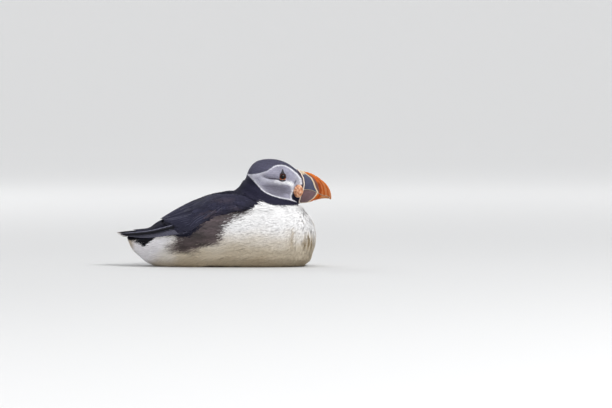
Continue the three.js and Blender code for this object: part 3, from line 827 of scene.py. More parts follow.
def lay_tufts(tree, roots, normals):
    """The points, upward ways and colours of tufts that lie over the skin from their roots.

    Near the floor they hang down instead, to close the gap over the feet."""
    count = len(roots)
    length, width = tuft_size(roots)
    ruffled = ramp(-roots[:, 1], 68, 80) * ramp(56 - roots[:, 2], 0, 14)
    length = length * RNG.uniform(0.8, 1.2, count)
    width = width * RNG.uniform(0.75, 1.25, count)
    way = lie_of_coat(roots, normals)
    yaw = 0.08 * drift(roots, 15, 1) + RNG.normal(0, 0.05 + 0.12 * ruffled, count)
    side = np.cross(normals, way)
    way = unit(way * np.cos(yaw)[:, None] + side * np.sin(yaw)[:, None])
    depth = coat_depth(roots)
    middle, middle_up = nearest_on(tree, roots + way * length[:, None] * 0.5)
    tip, tip_up = nearest_on(tree, roots + way * length[:, None])
    foot_y, foot_reach, hem_height = 22, 12, 7
    by_foot = np.exp(-((roots[:, 1] - foot_y) / foot_reach) ** 2)
    hang = ramp(hem_height + by_foot - roots[:, 2], 0, 6 - 2 * by_foot)
    hang = hang * ramp(normals[:, 2], -0.93, -0.6)
    fall = np.broadcast_to(np.array([-0.5, 0.12, -1]), roots.shape).copy()
    fall[:, 0] *= np.sign(roots[:, 0])
    down = roots + fall * (0.8 * length)[:, None] + normals * (0.45 * depth)[:, None]
    outward = unit(normals * np.array([1, 1, 0.1]))
    middle_up = unit(mixed(middle_up, outward, hang))
    tip_up = unit(mixed(tip_up, outward, hang))
    middle_rise = depth * RNG.uniform(0.56, 0.7, count)
    tip_rise = depth * RNG.uniform(0.82, 0.98, count) * (1 + 0.15 * ruffled)
    straight = (roots + down) / 2 + outward * (0.25 * depth)[:, None]
    middle = mixed(middle + middle_up * middle_rise[:, None], straight, hang * by_foot)
    tip = mixed(tip + tip_up * tip_rise[:, None], down, hang)
    knots = np.stack([roots - normals * (0.25 * depth)[:, None], middle, tip], 1)
    spines = spine_points(knots, TUFT_SHARES)
    roll = RNG.normal(0, 0.07, count)
    ups = spine_points(np.stack([normals, middle_up, tip_up], 1), TUFT_SHARES)
    ups = unit(ups + np.cross(normals, way)[:, None, :] * np.tan(roll)[:, None, None])
    shape = vane_points(spines, ups, width, TUFT_OUTLINE, TUFT_RING)
    lowest = 0.06
    shape[..., 2] = np.maximum(shape[..., 2], lowest)
    marked = roots + way * (0.55 * length)[:, None]
    colours = marking(marked, RNG.normal(0, 1.0, count))
    shade = 1 + RNG.normal(0, 0.05, count) * (1 + 1.2 * head_share(roots))
    # Each tuft is painted darker at its root and a little lighter at its tip: painted shade where
    # it lies under the tufts around it.
    along = np.array([0.93, 0.98, 1.01, 1.03])
    tone_and_painted_shade = (shade[:, None] * along)[:, :, None, None]
    colours = np.broadcast_to(colours[:, None, None, :] * tone_and_painted_shade, shape.shape)
    return shape, ups, colours


# Each coat piece's name, the centre and the facing of its unwrap, its material and its slot.
ZONES = (
    ("face", (0, -60, 88), (1, 0, 0), "face", "head_plumage"),
    ("crown", (0, -55, 90), (1, 0, 1), "dark", "head_plumage"),
    ("collar", (0, -50, 62), (1, 0, 0.2), "dark", "dark_plumage"),
    ("breast", (0, -60, 34), (1, -1, 0), "white", "white_plumage"),
    ("flank", (0, 0, 34), (1, 0, 0), "white", "white_plumage"),
    ("belly", (0, 0, 40), (0, 0, -1), "white", "white_plumage"),
    ("back", (0, 0, 40), (0, 0, 1), "dark", "dark_plumage"),
    ("rear", (0, 80, 26), (1, 0.3, 0), "white", "white_plumage"),
)
PAIRED = ("face", "crown", "collar", "breast", "flank", "rear")


def zone_of(points):
    """The name of the coat piece that each root belongs to."""
    y, z = points[:, 1], points[:, 2]
    names = np.full(len(points), "flank", dtype="<U12")
    names[z < 9] = "belly"
    names[y < -48] = "breast"
    names[y > 56] = "rear"
    dark = z > border_height(y)
    head = head_share(points) > 0.35
    names[dark] = "back"
    names[dark & (y < -8)] = "collar"
    names[head] = "crown"
    names[head & (inside_by(FACE, y, z) > 0)] = "face"
    for name in PAIRED:
        chosen = names == name
        names[chosen & (points[:, 0] >= 0)] = "left_" + name
        names[chosen & (points[:, 0] < 0)] = "right_" + name
    return names


def build_coat(skin, wing, materials):
    tree = tree_of(skin)
    roots, normals = sow(skin, wing, COAT_CROWD)
    shape, ups, colours = lay_tufts(tree, roots, normals)
    names = zone_of(roots)
    stations, ring = len(TUFT_SHARES), len(TUFT_RING)
    for zone, centre, facing, material, slot in ZONES:
        sides = ("left_", "right_") if zone in PAIRED else ("",)
        for side in sides:
            chosen = np.flatnonzero(names == side + zone)
            corners = ring_faces(len(chosen), stations, ring)
            name = f"{side}{zone}_coat"
            piece = array_mesh(name, shape[chosen].reshape(-1, 3), corners)
            paint(piece, colours[chosen].reshape(-1, 3))
            turned = (-facing[0] if side == "right_" else facing[0],) + facing[1:]
            bake_map(piece, roots[chosen], stations, TUFT_RING, centre, turned)
            soften(piece, np.repeat(ups[chosen].reshape(-1, 3), ring, axis=0), COAT_LEAN)
            finish_piece(piece, materials[material], slot)
    return tree


# The wings.

# The cross-sections of a shingled feather and of a long one with a shaft.
VANE_RING = np.array([[1.0, 0.0], [0.55, 0.1], [0.0, 0.16], [-0.55, 0.1], [-1.0, 0.0],
                      [0.0, -0.05]])
SHAFT_RING = np.array([[1.0, 0.0], [0.8, 0.05], [0.1, 0.1], [0.0, 0.2], [-0.1, 0.1],
                       [-0.8, 0.05], [-1.0, 0.0], [0.0, -0.06]])


def wing_edges():
    """The upper and lower edges of the left wing, as angles round the body's axis for each y."""
    corners = points_of(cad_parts["left_wing"])
    angle = np.arctan2(corners[:, 0], corners[:, 2] - AXIS_HEIGHT)
    stations = np.arange(-55, 66, 5.0)
    upper, lower = [], []
    for y in stations:
        near = np.abs(corners[:, 1] - y) < 6
        upper.append(angle[near].min() if near.any() else np.nan)
        lower.append(angle[near].max() if near.any() else np.nan)
    return stations, np.array(upper), np.array(lower)


def on_wing(tree, edges, y, across):
    """Places on the left wing's skin, with its normals.

    across runs from 0 at the wing's upper edge to 1 at its lower edge."""
    far_out = 150
    stations, upper, lower = edges
    angle = np.interp(y, stations, upper) * (1 - across) + np.interp(y, stations, lower) * across
    places = np.empty((len(y), 3))
    normals = np.empty((len(y), 3))
    for row, (at, turn) in enumerate(zip(y, angle)):
        outward = Vector((math.sin(turn), 0, math.cos(turn)))
        start = Vector((0, at, AXIS_HEIGHT)) + outward * far_out
        place, normal, _, _ = tree.ray_cast(start, -outward)
        places[row] = place
        normals[row] = normal
    return places, normals


def lay_vanes(tree, edges, y, across, length, drop, rise, stations, wing_end=200.0):
    """Spines over the wing from their roots, each running rearwards and dropping across it.

    Past the wing's end they run straight on."""
    shares = np.linspace(0, 1, stations)
    spines = np.empty((len(y), stations, 3))
    ups = np.empty((len(y), stations, 3))
    for k, share in enumerate(shares):
        at = np.clip(across + drop * share, -0.12, 1.12)
        reach = np.minimum(y + length * share, wing_end)
        past = y + length * share - reach
        places, normals = on_wing(tree, edges, reach, at)
        if past.max() > 0:
            back = 6
            before, _ = on_wing(tree, edges, reach - back, at)
            places += (places - before) / back * past[:, None]
        height = rise[0] + (rise[1] - rise[0]) * share
        spines[:, k] = places + normals * height[:, None]
        ups[:, k] = normals
    for _ in range(2):
        ups[:, 1:-1] = unit(ups[:, :-2] + 2 * ups[:, 1:-1] + ups[:, 2:])
    return spines, ups


def covert_rows():
    """Roots and sizes of the wing's shingled feathers, row by row from the shoulder back."""
    shoulder, last_row, columns = -60.0, 40.0, 15
    rows = []
    y = shoulder
    row = 0
    while y < last_row:
        share = (y - shoulder) / (last_row - shoulder)
        for column in range(columns):
            across = (column + 0.5 * (row % 2)) / (columns - 1)
            size = 8.5 + 9 * share + 7 * (1 - across) * ramp(share, 0.05, 0.4)
            rows.append((y, across, size))
        y += 2.9 + 2.6 * share
        row += 1
    return np.array(rows)


def vane_colours(count, stations, ring, base, edge, edge_share, tip=None, painted_shade_share=0.0):
    """Dark vanes with pale edges: an array of vane, station, place on the ring and colour.

    The vanes carry painted shade: they are darker over the share of their length that the row
    before them hides."""
    side = np.abs(ring[:, 0]) ** 12
    pale = np.broadcast_to(side[None, None, :] * edge_share, (count, stations, len(ring)))
    colours = mixed(base[:, None, None, :], edge, pale)
    # Painted shade towards the root, where the row before lies over the vane.
    bare = 0.7 + 0.33 * ramp(np.linspace(0, 1, stations), painted_shade_share - 0.15, painted_shade_share + 0.15)
    colours = colours * bare[None, :, None, None]
    if tip is not None:
        end = ramp(np.linspace(0, 1, stations), 0.9, 1.0)[None, :, None]
        end = np.broadcast_to(end * 0.6, pale.shape)
        colours = mixed(colours, tip, end)
    return colours


def vane_piece(name, spines, ups, widths, outline, ring, colours, lean=0.25):
    shape = vane_points(spines, ups, widths, outline, ring)
    count, stations = spines.shape[:2]
    corners = ring_faces(count, stations, len(ring))
    piece = array_mesh(name, shape.reshape(-1, 3), corners)
    paint(piece, colours.reshape(-1, 3))
    soften(piece, np.repeat(ups.reshape(-1, 3), len(ring), axis=0), lean)
    return piece


def rounded_outline(stations, blunt=3.0, root=0.45):
    share = np.linspace(0, 1, stations)
    return (root + (1 - root) * ramp(share, 0, 0.4)) * (1 - share ** blunt * 0.86)


def build_coverts(tree, edges):
    """The wing's shingled feathers, over the whole of it."""
    rows = covert_rows()
    roots, _ = on_wing(tree, edges, rows[:, 0], rows[:, 1])
    rows = rows[(roots[:, 2] > border_height(rows[:, 0]) + 0.5) & (roots[:, 1] > -46)]
    y = rows[:, 0] + RNG.normal(0, 0.5, len(rows))
    across = rows[:, 1] + RNG.normal(0, 0.012, len(rows))
    length = rows[:, 2] * RNG.uniform(0.92, 1.08, len(rows))
    rise = (np.full(len(y), 0.1), 1.0 + 0.025 * length + RNG.uniform(-0.12, 0.12, len(y)))
    stations = 7
    spines, ups = lay_vanes(tree, edges, y, across, length, 0.03, rise, stations)
    widths = length * 0.5
    share = ramp(y, -50, 30)
    faded = ramp(drift(spines[:, 0], 16, 2), 0.1, 0.9) * ramp(across, 0.3, 0.7) * 0.55
    base = mixed(mixed(COLLAR, WING_DARK, share), WING_BROWN, faded)
    base = base * RNG.normal(1, 0.13, len(y))[:, None]
    colours = vane_colours(len(y), stations, VANE_RING, base, WING_EDGE, 0.6, painted_shade_share=0.62)
    piece = vane_piece("left_wing_coverts", spines, ups, widths,
                       rounded_outline(stations, 3.5), VANE_RING, colours)
    bake_map(piece, spines[:, 2], stations, VANE_RING, (0, 0, 40), (1, 0, 0.4))
    return piece


def build_secondaries(tree, edges):
    """The long feathers along the wing's lower edge, and the blunt ones over its end."""
    count = 11
    order = np.arange(count)
    y = -6 + 3.0 * order
    across = 0.93 - 0.03 * order
    length = 34 + 0.4 * order
    rise = (np.full(count, 0.3), 1.5 + 0.12 * order)
    blunt = 5
    top = np.arange(blunt)
    y = np.concatenate([y, 24 - 1.5 * top])
    across = np.concatenate([across, 0.5 - 0.115 * top])
    length = np.concatenate([length, 40 + 2.2 * top])
    rise = (np.concatenate([rise[0], np.full(blunt, 0.8)]),
            np.concatenate([rise[1], 2.0 + 0.25 * top]))
    drop = np.concatenate([np.full(count, 0.1), np.full(blunt, 0.06)])
    stations = 12
    wing_end = 54.0
    spines, ups = lay_vanes(tree, edges, y, across, length, drop, rise, stations, wing_end)
    widths = np.concatenate([np.full(count, 8.5), np.full(blunt, 11.5)])
    base = WING_DARK * RNG.normal(1, 0.08, len(y))[:, None]
    rims = np.where(np.arange(len(y))[:, None] < count, WING_EDGE, VANE_RIM)[:, None, None, :]
    colours = vane_colours(len(y), stations, SHAFT_RING, base, rims, 0.6, painted_shade_share=0.35)
    piece = vane_piece("left_secondaries", spines, ups, widths,
                       rounded_outline(stations, 6.0, 0.6), SHAFT_RING, colours)
    strip_map(piece, len(y), stations, SHAFT_RING)
    return piece


def strip_map(piece, count, stations, ring):
    """An OFBake map with one strip for each of a few long vanes."""
    column = np.arange(count)[:, None, None] / count
    across = (0.1 + 0.8 * (ring[:, 0] + 1) / 2)[None, None, :] / count
    along = (0.03 + 0.94 * np.arange(stations) / (stations - 1))[None, :, None]
    spots = np.stack(np.broadcast_arrays(column + across, along), -1)
    write_map(piece, spots.reshape(-1, 2))


# The line that the folded primaries follow, as (x, y, z).
PRIMARY_LINE = ((38.4, 30.0, 42.0), (34.6, 56.0, 41.0), (25.0, 76.0, 37.5),
                (16.6, 94.0, 36.6), (10.8, 111.5, 36.9))


def along_line(line, y):
    places = np.array(line)
    return np.stack([np.interp(y, places[:, 1], places[:, 0]), y,
                     np.interp(y, places[:, 1], places[:, 2])], -1)


def build_primaries():
    """Ten long flight feathers, stacked with the longest lowest and innermost."""
    count, stations = 10, 14
    order = np.arange(count)
    tips = 110.6 - 6.3 * order
    roots = 41.0 - 0.2 * order
    shares = np.linspace(0, 1, stations)
    y = roots[:, None] + (tips - roots)[:, None] * shares
    centre = along_line(PRIMARY_LINE, y.ravel()).reshape(count, stations, 3)
    smoothed = centre.copy()
    for _ in range(3):
        smoothed[:, 1:-1] = (smoothed[:, :-2] + 2 * smoothed[:, 1:-1] + smoothed[:, 2:]) / 4
    out = unit(np.array([0.86, 0.28, 0.42]))
    stack = (order - count / 2)[:, None, None]
    climb = np.array([-0.46, 0.0, 0.9]) * 0.62
    spines = smoothed + stack * (climb * (1 - 0.35 * shares[None, :, None]) + out * 0.16)
    ups = np.broadcast_to(out, spines.shape).copy()
    widths = np.full(count, 7.6)
    base = TAIL_BLACK * RNG.normal(1.0, 0.08, count)[:, None]
    colours = vane_colours(count, stations, SHAFT_RING, base, VANE_RIM, 0.9)
    outline = rounded_outline(stations, 5.0, 0.7)
    piece = vane_piece("left_primaries_vanes", spines, ups, widths, outline, SHAFT_RING, colours)
    strip_map(piece, count, stations, SHAFT_RING)
    return piece


def tail_height(x, share):
    """The height of the tail's fan, for a share of the way from its root to its tip."""
    root_height, drop, arch = 41.4, 5.2, 0.014
    return root_height - drop * share ** 0.7 - arch * x ** 2


def build_tail_coverts(tree, materials):
    """Shingled feathers over the root of the tail, in rows from the rump back."""
    rows, columns, stations = 5, 9, 9
    row = np.repeat(np.arange(rows), columns)
    column = np.tile(np.linspace(-1, 1, columns), rows) + 0.125 * (row % 2)
    root_x = column * 11.0 + RNG.normal(0, 0.3, len(row))
    root_y = 58.0 + 4.2 * row + RNG.normal(0, 0.6, len(row)) - 1.5 * column ** 2
    length = 17.0 + 1.2 * row + RNG.uniform(-1.0, 1.0, len(row))
    shares = np.linspace(0, 1, stations)
    x = root_x[:, None] * (1 + 0.1 * shares)
    y = root_y[:, None] + length[:, None] * shares
    over_tail = np.clip((y - TAIL_ROOT) / (TAIL_TIP - TAIL_ROOT), 0, 1)
    z = tail_height(x, over_tail) + 0.5 + 1.1 * shares
    for spot in np.ndindex(x.shape):
        place = tree.ray_cast(Vector((x[spot], y[spot], 200)), Vector((0, 0, -1)))[0]
        if place is not None:
            z[spot] = max(z[spot], place[2] + 1.5 + 1.6 * shares[spot[1]])
    for _ in range(2):
        z[:, 1:-1] = (z[:, :-2] + 2 * z[:, 1:-1] + z[:, 2:]) / 4
    spines = np.stack([x, y, z], -1)
    along = unit(np.gradient(spines, axis=1))
    sideways = np.stack([np.full_like(x, -1.0), np.zeros_like(x), 0.035 * x], -1)
    ups = unit(np.cross(along, sideways))
    ups *= np.sign(ups[..., 2:])
    base = BACK * RNG.normal(1.0, 0.1, len(row))[:, None]
    colours = vane_colours(len(row), stations, VANE_RING, base, WING_EDGE, 0.2)
    piece = vane_piece("tail_coverts", spines, ups, np.full(len(row), 5.6),
                       rounded_outline(stations, 3.0), VANE_RING, colours)
    bake_map(piece, spines[:, 2], stations, VANE_RING, (0, 60, 30), (0, 0, 1))
    finish_piece(piece, materials["dark"], "dark_plumage")


def build_tail(materials):
    """Sixteen tail feathers in a flat fan, the middle pair on top."""
    count, stations = 16, 12
    order = np.arange(count) - (count - 1) / 2
    spread = order / (count / 2)
    shares = np.linspace(0, 1, stations)
    tip_y = TAIL_TIP - 7.5 * np.abs(spread) ** 2.2
    y = TAIL_ROOT + (tip_y - TAIL_ROOT)[:, None] * shares
    x = spread[:, None] * (7.5 + 8.2 * shares ** 0.8)
    z = tail_height(x, shares) - 0.13 * np.abs(order)[:, None]
    z = z - 3.2 * ramp(0.26 - shares, 0, 0.26)
    spines = np.stack(np.broadcast_arrays(x, y, z), -1)
    lean = spread[:, None] * 0.3 * np.ones_like(shares)
    ups = unit(np.stack([lean, np.zeros_like(lean), np.ones_like(lean)], -1))
    base = TAIL_BLACK * RNG.normal(1, 0.08, count)[:, None]
    colours = vane_colours(count, stations, SHAFT_RING, base, WING_EDGE, 0.35, TIP_BROWN)
    outline = rounded_outline(stations, 6.0, 0.7)
    piece = vane_piece("tail_vanes", spines, ups, np.full(count, 6.4), outline, SHAFT_RING,
                       colours)
    strip_map(piece, count, stations, SHAFT_RING)
    finish_piece(piece, materials["vane"], "dark_plumage", "tail")


def build_wings(tree, materials):
    edges = wing_edges()
    coverts = build_coverts(tree, edges)
    secondaries = build_secondaries(tree, edges)
    primaries = build_primaries()
    finish_pair(coverts, materials["vane"], "dark_plumage")
    finish_pair(secondaries, materials["vane"], "dark_plumage")
    finish_pair(primaries, materials["vane"], "dark_plumage", "primaries")


# Bill, cere and rosettes.

def groove(line, points, width):
    """1 on a side-view line, and less on both sides of it."""
    return np.exp(-(ahead_of(line, points) / width) ** 2)


def upper_bill_colours(points):
    y, z = points[:, 1], points[:, 2]
    past_plate = ahead_of(PLATE_EDGE, points)
    past_band = ahead_of(BAND_EDGE, points)
    colours = mottled(SLATE_PLATE, points, 0.1, 5)
    colours = mixed(colours, HORN_CREAM, ramp(past_plate, -0.9, -0.3))
    colours = mixed(colours, BAND_MAUVE, ramp(past_plate, 0.5, 1.1))
    colours = mixed(colours, ORANGE, ramp(past_band, -0.3, 0.5))
    deep = np.exp(-((past_band - 1.5) / 1.2) ** 2) * ramp(92 - z, 0, 4)
    colours = mixed(colours, DEEP_ORANGE, 0.9 * deep)
    sunk = np.maximum(groove(FIRST_GROOVE, points, 0.9), groove(SECOND_GROOVE, points, 0.8))
    outer = ramp(past_band, 2.2, 3.2) * (1 - sunk)
    colours = mixed(colours, TAN_HORN, (0.6 + 0.3 * ramp(-y, 104, 113)) * outer)
    colours = mixed(colours, DEEP_ORANGE, 0.55 * sunk * ramp(past_band, 2.0, 3.0))
    culmen = np.array(CULMEN)
    below_top = np.interp(y, culmen[:, 0], culmen[:, 1]) - z
    crest = ramp(1.7 - below_top, -0.8, 0.8) * ramp(-y, 84, 89)
    colours = mixed(colours, CULMEN_YELLOW, crest * 0.85)
    base_patch = ramp(y, -88, -85.5) * ramp(z, 97.5, 99.5)
    colours = mixed(colours, HORN_CREAM, 0.85 * base_patch)
    edge = near_line(MOUTH, y, z, 1.2, 0.7)
    return mixed(colours, HORN_CREAM, 0.75 * edge)


def lower_bill_colours(points):
    y, z = points[:, 1], points[:, 2]
    past_plate = ahead_of(LOWER_PLATE_EDGE, points)
    past_band = ahead_of(LOWER_BAND_EDGE, points)
    colours = mottled(LOWER_PLATE, points, 0.1, 5)
    colours = mixed(colours, HORN_CREAM, ramp(past_plate, -0.9, -0.3))
    colours = mixed(colours, ORANGE, ramp(past_plate, 0.5, 1.2))
    colours = mixed(colours, DEEP_ORANGE, 0.6 * np.exp(-((past_band - 0.6) / 0.9) ** 2))
    colours = mixed(colours, LOWER_TIP, ramp(past_band, 1.6, 4.0))
    ahead, rise = np.array(CHIN_RISE).T
    rim = CHIN_HEIGHT + np.interp(-y, ahead, rise)
    return mixed(colours, HORN_CREAM, 0.5 * ramp(rim + 1.2 - z, 0, 0.9))


def bill_relief(points, grooves, ridge):
    """How far the horn stands out: grooves across its outer part, and a ridge round its plate."""
    ridge_height, groove_depth, growth_height = 0.22, 0.4, 0.03
    lift = ridge_height * groove(ridge, points, 0.55)
    for line in grooves:
        lift = lift - groove_depth * groove(line, points, 0.5)
    return lift + growth_height * np.sin(ahead_of(ridge, points) * 2.4)


def build_bill(materials):
    plans = (
        ("upper_bill", upper_bill_colours, (BAND_EDGE, FIRST_GROOVE, SECOND_GROOVE),
         PLATE_EDGE),
        ("lower_bill", lower_bill_colours, (LOWER_BAND_EDGE,), LOWER_PLATE_EDGE),
    )
    for node, colouring, grooves, ridge in plans:
        piece = remeshed(f"{node}_horn", [node], cell=0.32, rounds=7)
        points = points_of(piece)
        swell(piece, bill_relief(points, grooves, ridge))
        paint(piece, colouring(points))
        finish_piece(piece, materials["bill"], "bill_horn", node)


def build_cere(materials):
    pit_depth, pit_size = 0.07, 1.6
    cere = remeshed("cere_ridge", ["cere"], cell=0.28, rounds=5, swollen=0.12)
    points = points_of(cere)
    swell(cere, drift(points, pit_size) * pit_depth)
    rear = ramp(before_cere(points), 0.95, 0.5)
    paint(cere, mixed(mottled(CERE_CREAM, points, 0.1, 2.4), CERE_LINE, rear))
    finish_piece(cere, materials["cere"], "cere", "cere")


def build_rosettes(materials):
    fold_count, fold_height, ring_height = 5, 0.28, 0.16
    left = remeshed("left_gape_rosette", ["left_rosette"], cell=0.3, rounds=6, swollen=0.7)
    points = points_of(left)
    away = points - ROSETTE_PLACE
    turn = np.arctan2(away[:, 2], away[:, 1])
    reach = np.hypot(away[:, 1], away[:, 2])
    folds = np.sin(turn * fold_count + 1.2 * drift(points, 4) + reach * 0.6)
    rings = np.sin(reach * 2.1 + 1.2 * drift(points, 3))
    swell(left, fold_height * folds * ramp(reach, 0.5, 3) + ring_height * rings)
    # The rosette's hollows are painted darker, as painted shade, and its ridges paler, as painted
    # highlights.
    raised = folds + 0.5 * rings
    colours = mixed(ROSETTE_ORANGE, ROSETTE_FOLD_SHADE, 0.7 * ramp(-raised, 0.3, 1.3))
    paint(left, mixed(colours, ROSETTE_HIGHLIGHT, 0.6 * ramp(raised, 0.2, 1.3)))
    finish_pair(left, materials["rosette"], "rosette_skin", "rosette")


# Eyes and lids.

EYE_AXIS = unit(np.array([1.0, -0.16, 0.06]))


def facing_out(points):
    """Points about the upright axis, turned to lie about the way the eye looks."""
    turn = Vector((0, 0, 1)).rotation_difference(Vector(EYE_AXIS)).to_matrix()
    return points @ np.array(turn).T


def build_eyes(materials):
    deselect()
    bpy.ops.mesh.primitive_uv_sphere_add(
        segments=64, ring_count=40, radius=EYE_RADIUS * MM, location=(0, 0, 0))
    left = bpy.context.view_layer.objects.active
    left.name = "left_eyeball"
    points = facing_out(points_of(left))
    off_axis = np.linalg.norm(np.cross(points, EYE_AXIS), axis=1)
    ahead = points @ EYE_AXIS > 0
    pupil_radius, cornea_radius, cornea_height = 2.0, 2.8, 0.25
    colours = mixed(IRIS_BROWN, PUPIL, ramp(pupil_radius - off_axis, -0.15, 0.15) * ahead)
    bulge = cornea_height * ramp(cornea_radius - off_axis, 0, 2.5) * ahead
    points = points + EYE_AXIS * bulge[:, None] + EYE_PLACE
    move_points(left, points)
    select_only(left)
    bpy.ops.object.shade_smooth()
    paint(left, colours)
    finish_pair(left, materials["eye"], "eye", "eye")


def build_lids(tree, materials):
    """The red ring round each eye, the horny plate above it and the bar below it."""
    ring_radius, ring_thickness, bead_count = 3.2, 0.36, 19
    deselect()
    bpy.ops.mesh.primitive_torus_add(
        major_radius=ring_radius * MM, minor_radius=ring_thickness * MM,
        major_segments=96, minor_segments=16)
    ring = bpy.context.view_layer.objects.active
    ring.name = "left_eye_ring"
    points = points_of(ring)
    around = np.arctan2(points[:, 1], points[:, 0])
    points[:, 2] = points[:, 2] * (1 + 0.12 * np.sin(around * bead_count))
    points = facing_out(points)
    low = ramp(-points[:, 2], 0.8, ring_radius)
    points[:, 1] *= 1 + 0.22 * low
    points[:, 2] *= 1 - 0.1 * low
    seat = math.sqrt(EYE_RADIUS ** 2 - ring_radius ** 2) - 0.02
    move_points(ring, points + EYE_PLACE + EYE_AXIS * seat)
    select_only(ring)
    bpy.ops.object.shade_smooth()
    under = ramp(EYE_PLACE[2] - 1.5 - points_of(ring)[:, 2], -0.8, 0.9)
    paint(ring, mixed(EYE_RING_DARK, EYE_RING, under))
    plates = [ring]
    for name, outline in (("left_brow_plate", brow_outline), ("left_lower_plate", bar_outline)):
        plates.append(build_plate(name, outline, tree))
    for left in plates:
        finish_pair(left, materials["lid"], "eye")


def brow_outline(u, v):
    """A triangle above the eye: u across it and v up it, both from 0 to 1."""
    half = 2.1 * (1 - v) ** 1.5 + 0.25
    return EYE_PLACE[1] - 0.4 + (u * 2 - 1) * half, EYE_PLACE[2] + 3.3 + 5.0 * v


def bar_outline(u, v):
    """A bar below the eye, curved up at its ends, with u and v as for the triangle."""
    half = 3.6 - 1.1 * (v * 2 - 1) ** 2
    across = u * 2 - 1
    return EYE_PLACE[1] + across * half, EYE_PLACE[2] - 4.7 + 1.3 * v + 0.5 * across ** 2


def build_plate(name, outline, tree):
    """A small crowned plate of horn on the head."""
    deselect()
    bpy.ops.mesh.primitive_grid_add(x_subdivisions=18, y_subdivisions=14, size=1.0)
    plate = bpy.context.view_layer.objects.active
    plate.name = name
    flat = points_of(plate) * MM + 0.5
    u, v = flat[:, 0], flat[:, 1]
    y, z = outline(u, v)
    beside_head = 19.0
    start = np.stack([np.full_like(y, beside_head), y, z], 1)
    places, normals = nearest_on(tree, start)
    crown = (1 - (u * 2 - 1) ** 4) * (1 - (v * 2 - 1) ** 4)
    places[:, 1], places[:, 2] = y, z
    rim_height, crown_height, thickness = 0.35, 0.75, 0.5
    move_points(plate, places + normals * (rim_height + crown_height * crown)[:, None])
    apply_modifier(plate, "SOLIDIFY", thickness=thickness * MM, offset=0)
    select_only(plate)
    bpy.ops.object.mode_set(mode="EDIT")
    bpy.ops.mesh.select_all(action="SELECT")
    bpy.ops.mesh.normals_make_consistent(inside=False)
    bpy.ops.object.mode_set(mode="OBJECT")
    bpy.ops.object.shade_smooth()
    paint(plate, mottled(EYE_PLATE, points_of(plate), 0.15, 1.5))
    return plate


# Feet and claws.

def build_feet(materials):
    scute_height = 0.12
    tucked = np.array([FOOT_TUCK, 1, 1])
    for side in ("left", "right"):
        for part in ("shank", "foot"):
            node = f"{side}_{part}"
            piece = remeshed(f"{node}_skin", [node], cell=0.45, rounds=4)
            points = points_of(piece)
            scutes = np.abs(np.sin(points[:, 1] * 1.9)) ** 0.6 * ramp(points[:, 2], 0.8, 1.6)
            swell(piece, scute_height * scutes)
            points = points_of(piece)
            points[:, 2] = np.maximum(points[:, 2], 0.0)
            move_points(piece, points * tucked)
            shade = 0.8 + 0.25 * scutes + 0.08 * drift(points, 5)
            paint(piece, FOOT_ORANGE * shade[:, None])
            finish_piece(piece, materials["foot"], "foot_skin", node)
        for toe in ("inner", "middle", "outer"):
            node = f"{side}_{toe}_claw"
            piece = remeshed(f"{node}_horn", [node], cell=0.2, rounds=3)
            points = points_of(piece)
            move_points(piece, points * tucked)
            paint(piece, mottled(CLAW_BLACK, points, 0.2, 2))
            finish_piece(piece, materials["claw"], "claw", node)


# Floor, light and camera.

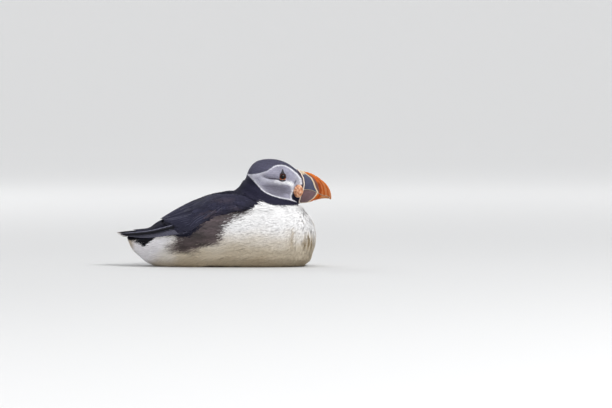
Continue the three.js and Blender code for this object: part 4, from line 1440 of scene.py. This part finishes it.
def build_studio():
    """A pale floor that curves up into a wall all round."""
    flat_radius, bend, wall_top, steps = 6.0, 2.5, 6.0, 16
    deselect()
    bpy.ops.mesh.primitive_circle_add(
        vertices=96, radius=flat_radius, fill_type="TRIFAN", calc_uvs=False)
    bowl = bpy.context.view_layer.objects.active
    bowl.name = "studio_floor"
    profile = [(flat_radius, 0.0)]
    for step in range(1, steps + 1):
        turn = math.pi / 2 * step / steps
        profile.append((flat_radius + bend * math.sin(turn), bend * (1 - math.cos(turn))))
    profile.append((flat_radius + bend, wall_top))
    bpy.ops.object.mode_set(mode="EDIT")
    bpy.ops.mesh.select_all(action="SELECT")
    bpy.ops.mesh.region_to_loop()
    for (radius, height), (wider, higher) in zip(profile[:-1], profile[1:]):
        rise = (0, 0, higher - height)
        bpy.ops.mesh.extrude_region_move(TRANSFORM_OT_translate={"value": rise})
        growth = wider / radius
        bpy.ops.transform.resize(value=(growth, growth, 1), center_override=(0, 0, higher))
    bpy.ops.object.mode_set(mode="OBJECT")
    bpy.ops.object.shade_smooth()
    material, tree, shader = new_material(
        "studio_paper", Roughness=0.85, Specular_IOR_Level=0.2, Base_Color=(0.6, 0.6, 0.6, 1.0),
        Emission_Color=(1.0, 1.0, 1.0, 1.0))
    place = add_node(tree, "ShaderNodeTexCoord")
    reach = add_node(tree, "ShaderNodeVectorMath")
    reach.operation = "LENGTH"
    glow = add_node(tree, "ShaderNodeMapRange", From_Min=0.3, From_Max=2.8, To_Min=0.0,
                    To_Max=0.36)
    glow.interpolation_type = "SMOOTHSTEP"
    tree.links.new(place.outputs["Object"], reach.inputs[0])
    tree.links.new(reach.outputs["Value"], glow.inputs["Value"])
    tree.links.new(glow.outputs["Result"], shader.inputs["Emission Strength"])
    bowl.data.materials.append(material)


def add_light(name, place, size, power, aim=(0, 0, 0.05)):
    """A round lamp in metres and watts, turned to its aim."""
    lamp = bpy.data.lights.new(name, "AREA")
    lamp.shape = "DISK"
    lamp.size = size
    lamp.energy = power
    holder = bpy.data.objects.new(name, lamp)
    bpy.context.scene.collection.objects.link(holder)
    holder.location = place
    way = Vector(aim) - Vector(place)
    holder.rotation_euler = way.to_track_quat("-Z", "Y").to_euler()


def build_light_and_camera():
    world = bpy.data.worlds.new("studio_air")
    bpy.context.scene.world = world
    world.use_nodes = True
    background = world.node_tree.nodes["Background"]
    background.inputs["Color"].default_value = (0.93, 0.96, 1.0, 1.0)
    background.inputs["Strength"].default_value = 0.36
    add_light("key_light", (-1.6, -1.5, 2.4), 1.5, 76)
    add_light("top_light", (0.3, 0.2, 2.8), 1.8, 22)
    add_light("rear_light", (1.8, 1.4, 1.6), 1.2, 12)
    focal, sensor = 200.0, 36.0
    frame_width = 0.658
    aim = Vector((0.0, -0.08815, 0.06665))
    reach = frame_width * focal / sensor
    pitch = math.radians(2.0)
    camera = bpy.data.cameras.new("camera")
    camera.lens = focal
    camera.sensor_width = sensor
    camera.clip_end = 50
    holder = bpy.data.objects.new("camera", camera)
    bpy.context.scene.collection.objects.link(holder)
    holder.location = aim + Vector((-math.cos(pitch), 0, math.sin(pitch))) * reach
    holder.rotation_euler = (aim - holder.location).to_track_quat("-Z", "Y").to_euler()
    bpy.context.scene.camera = holder
    bpy.context.scene.view_settings.view_transform = "Standard"


def main():
    build_light_and_camera()
    build_studio()
    materials = make_materials()
    skin, wing = build_skin(materials)
    tree = build_coat(skin, wing, materials)
    build_wings(tree, materials)
    build_tail(materials)
    build_tail_coverts(tree, materials)
    build_bill(materials)
    build_cere(materials)
    build_rosettes(materials)
    build_eyes(materials)
    build_lids(tree, materials)
    build_feet(materials)


main()
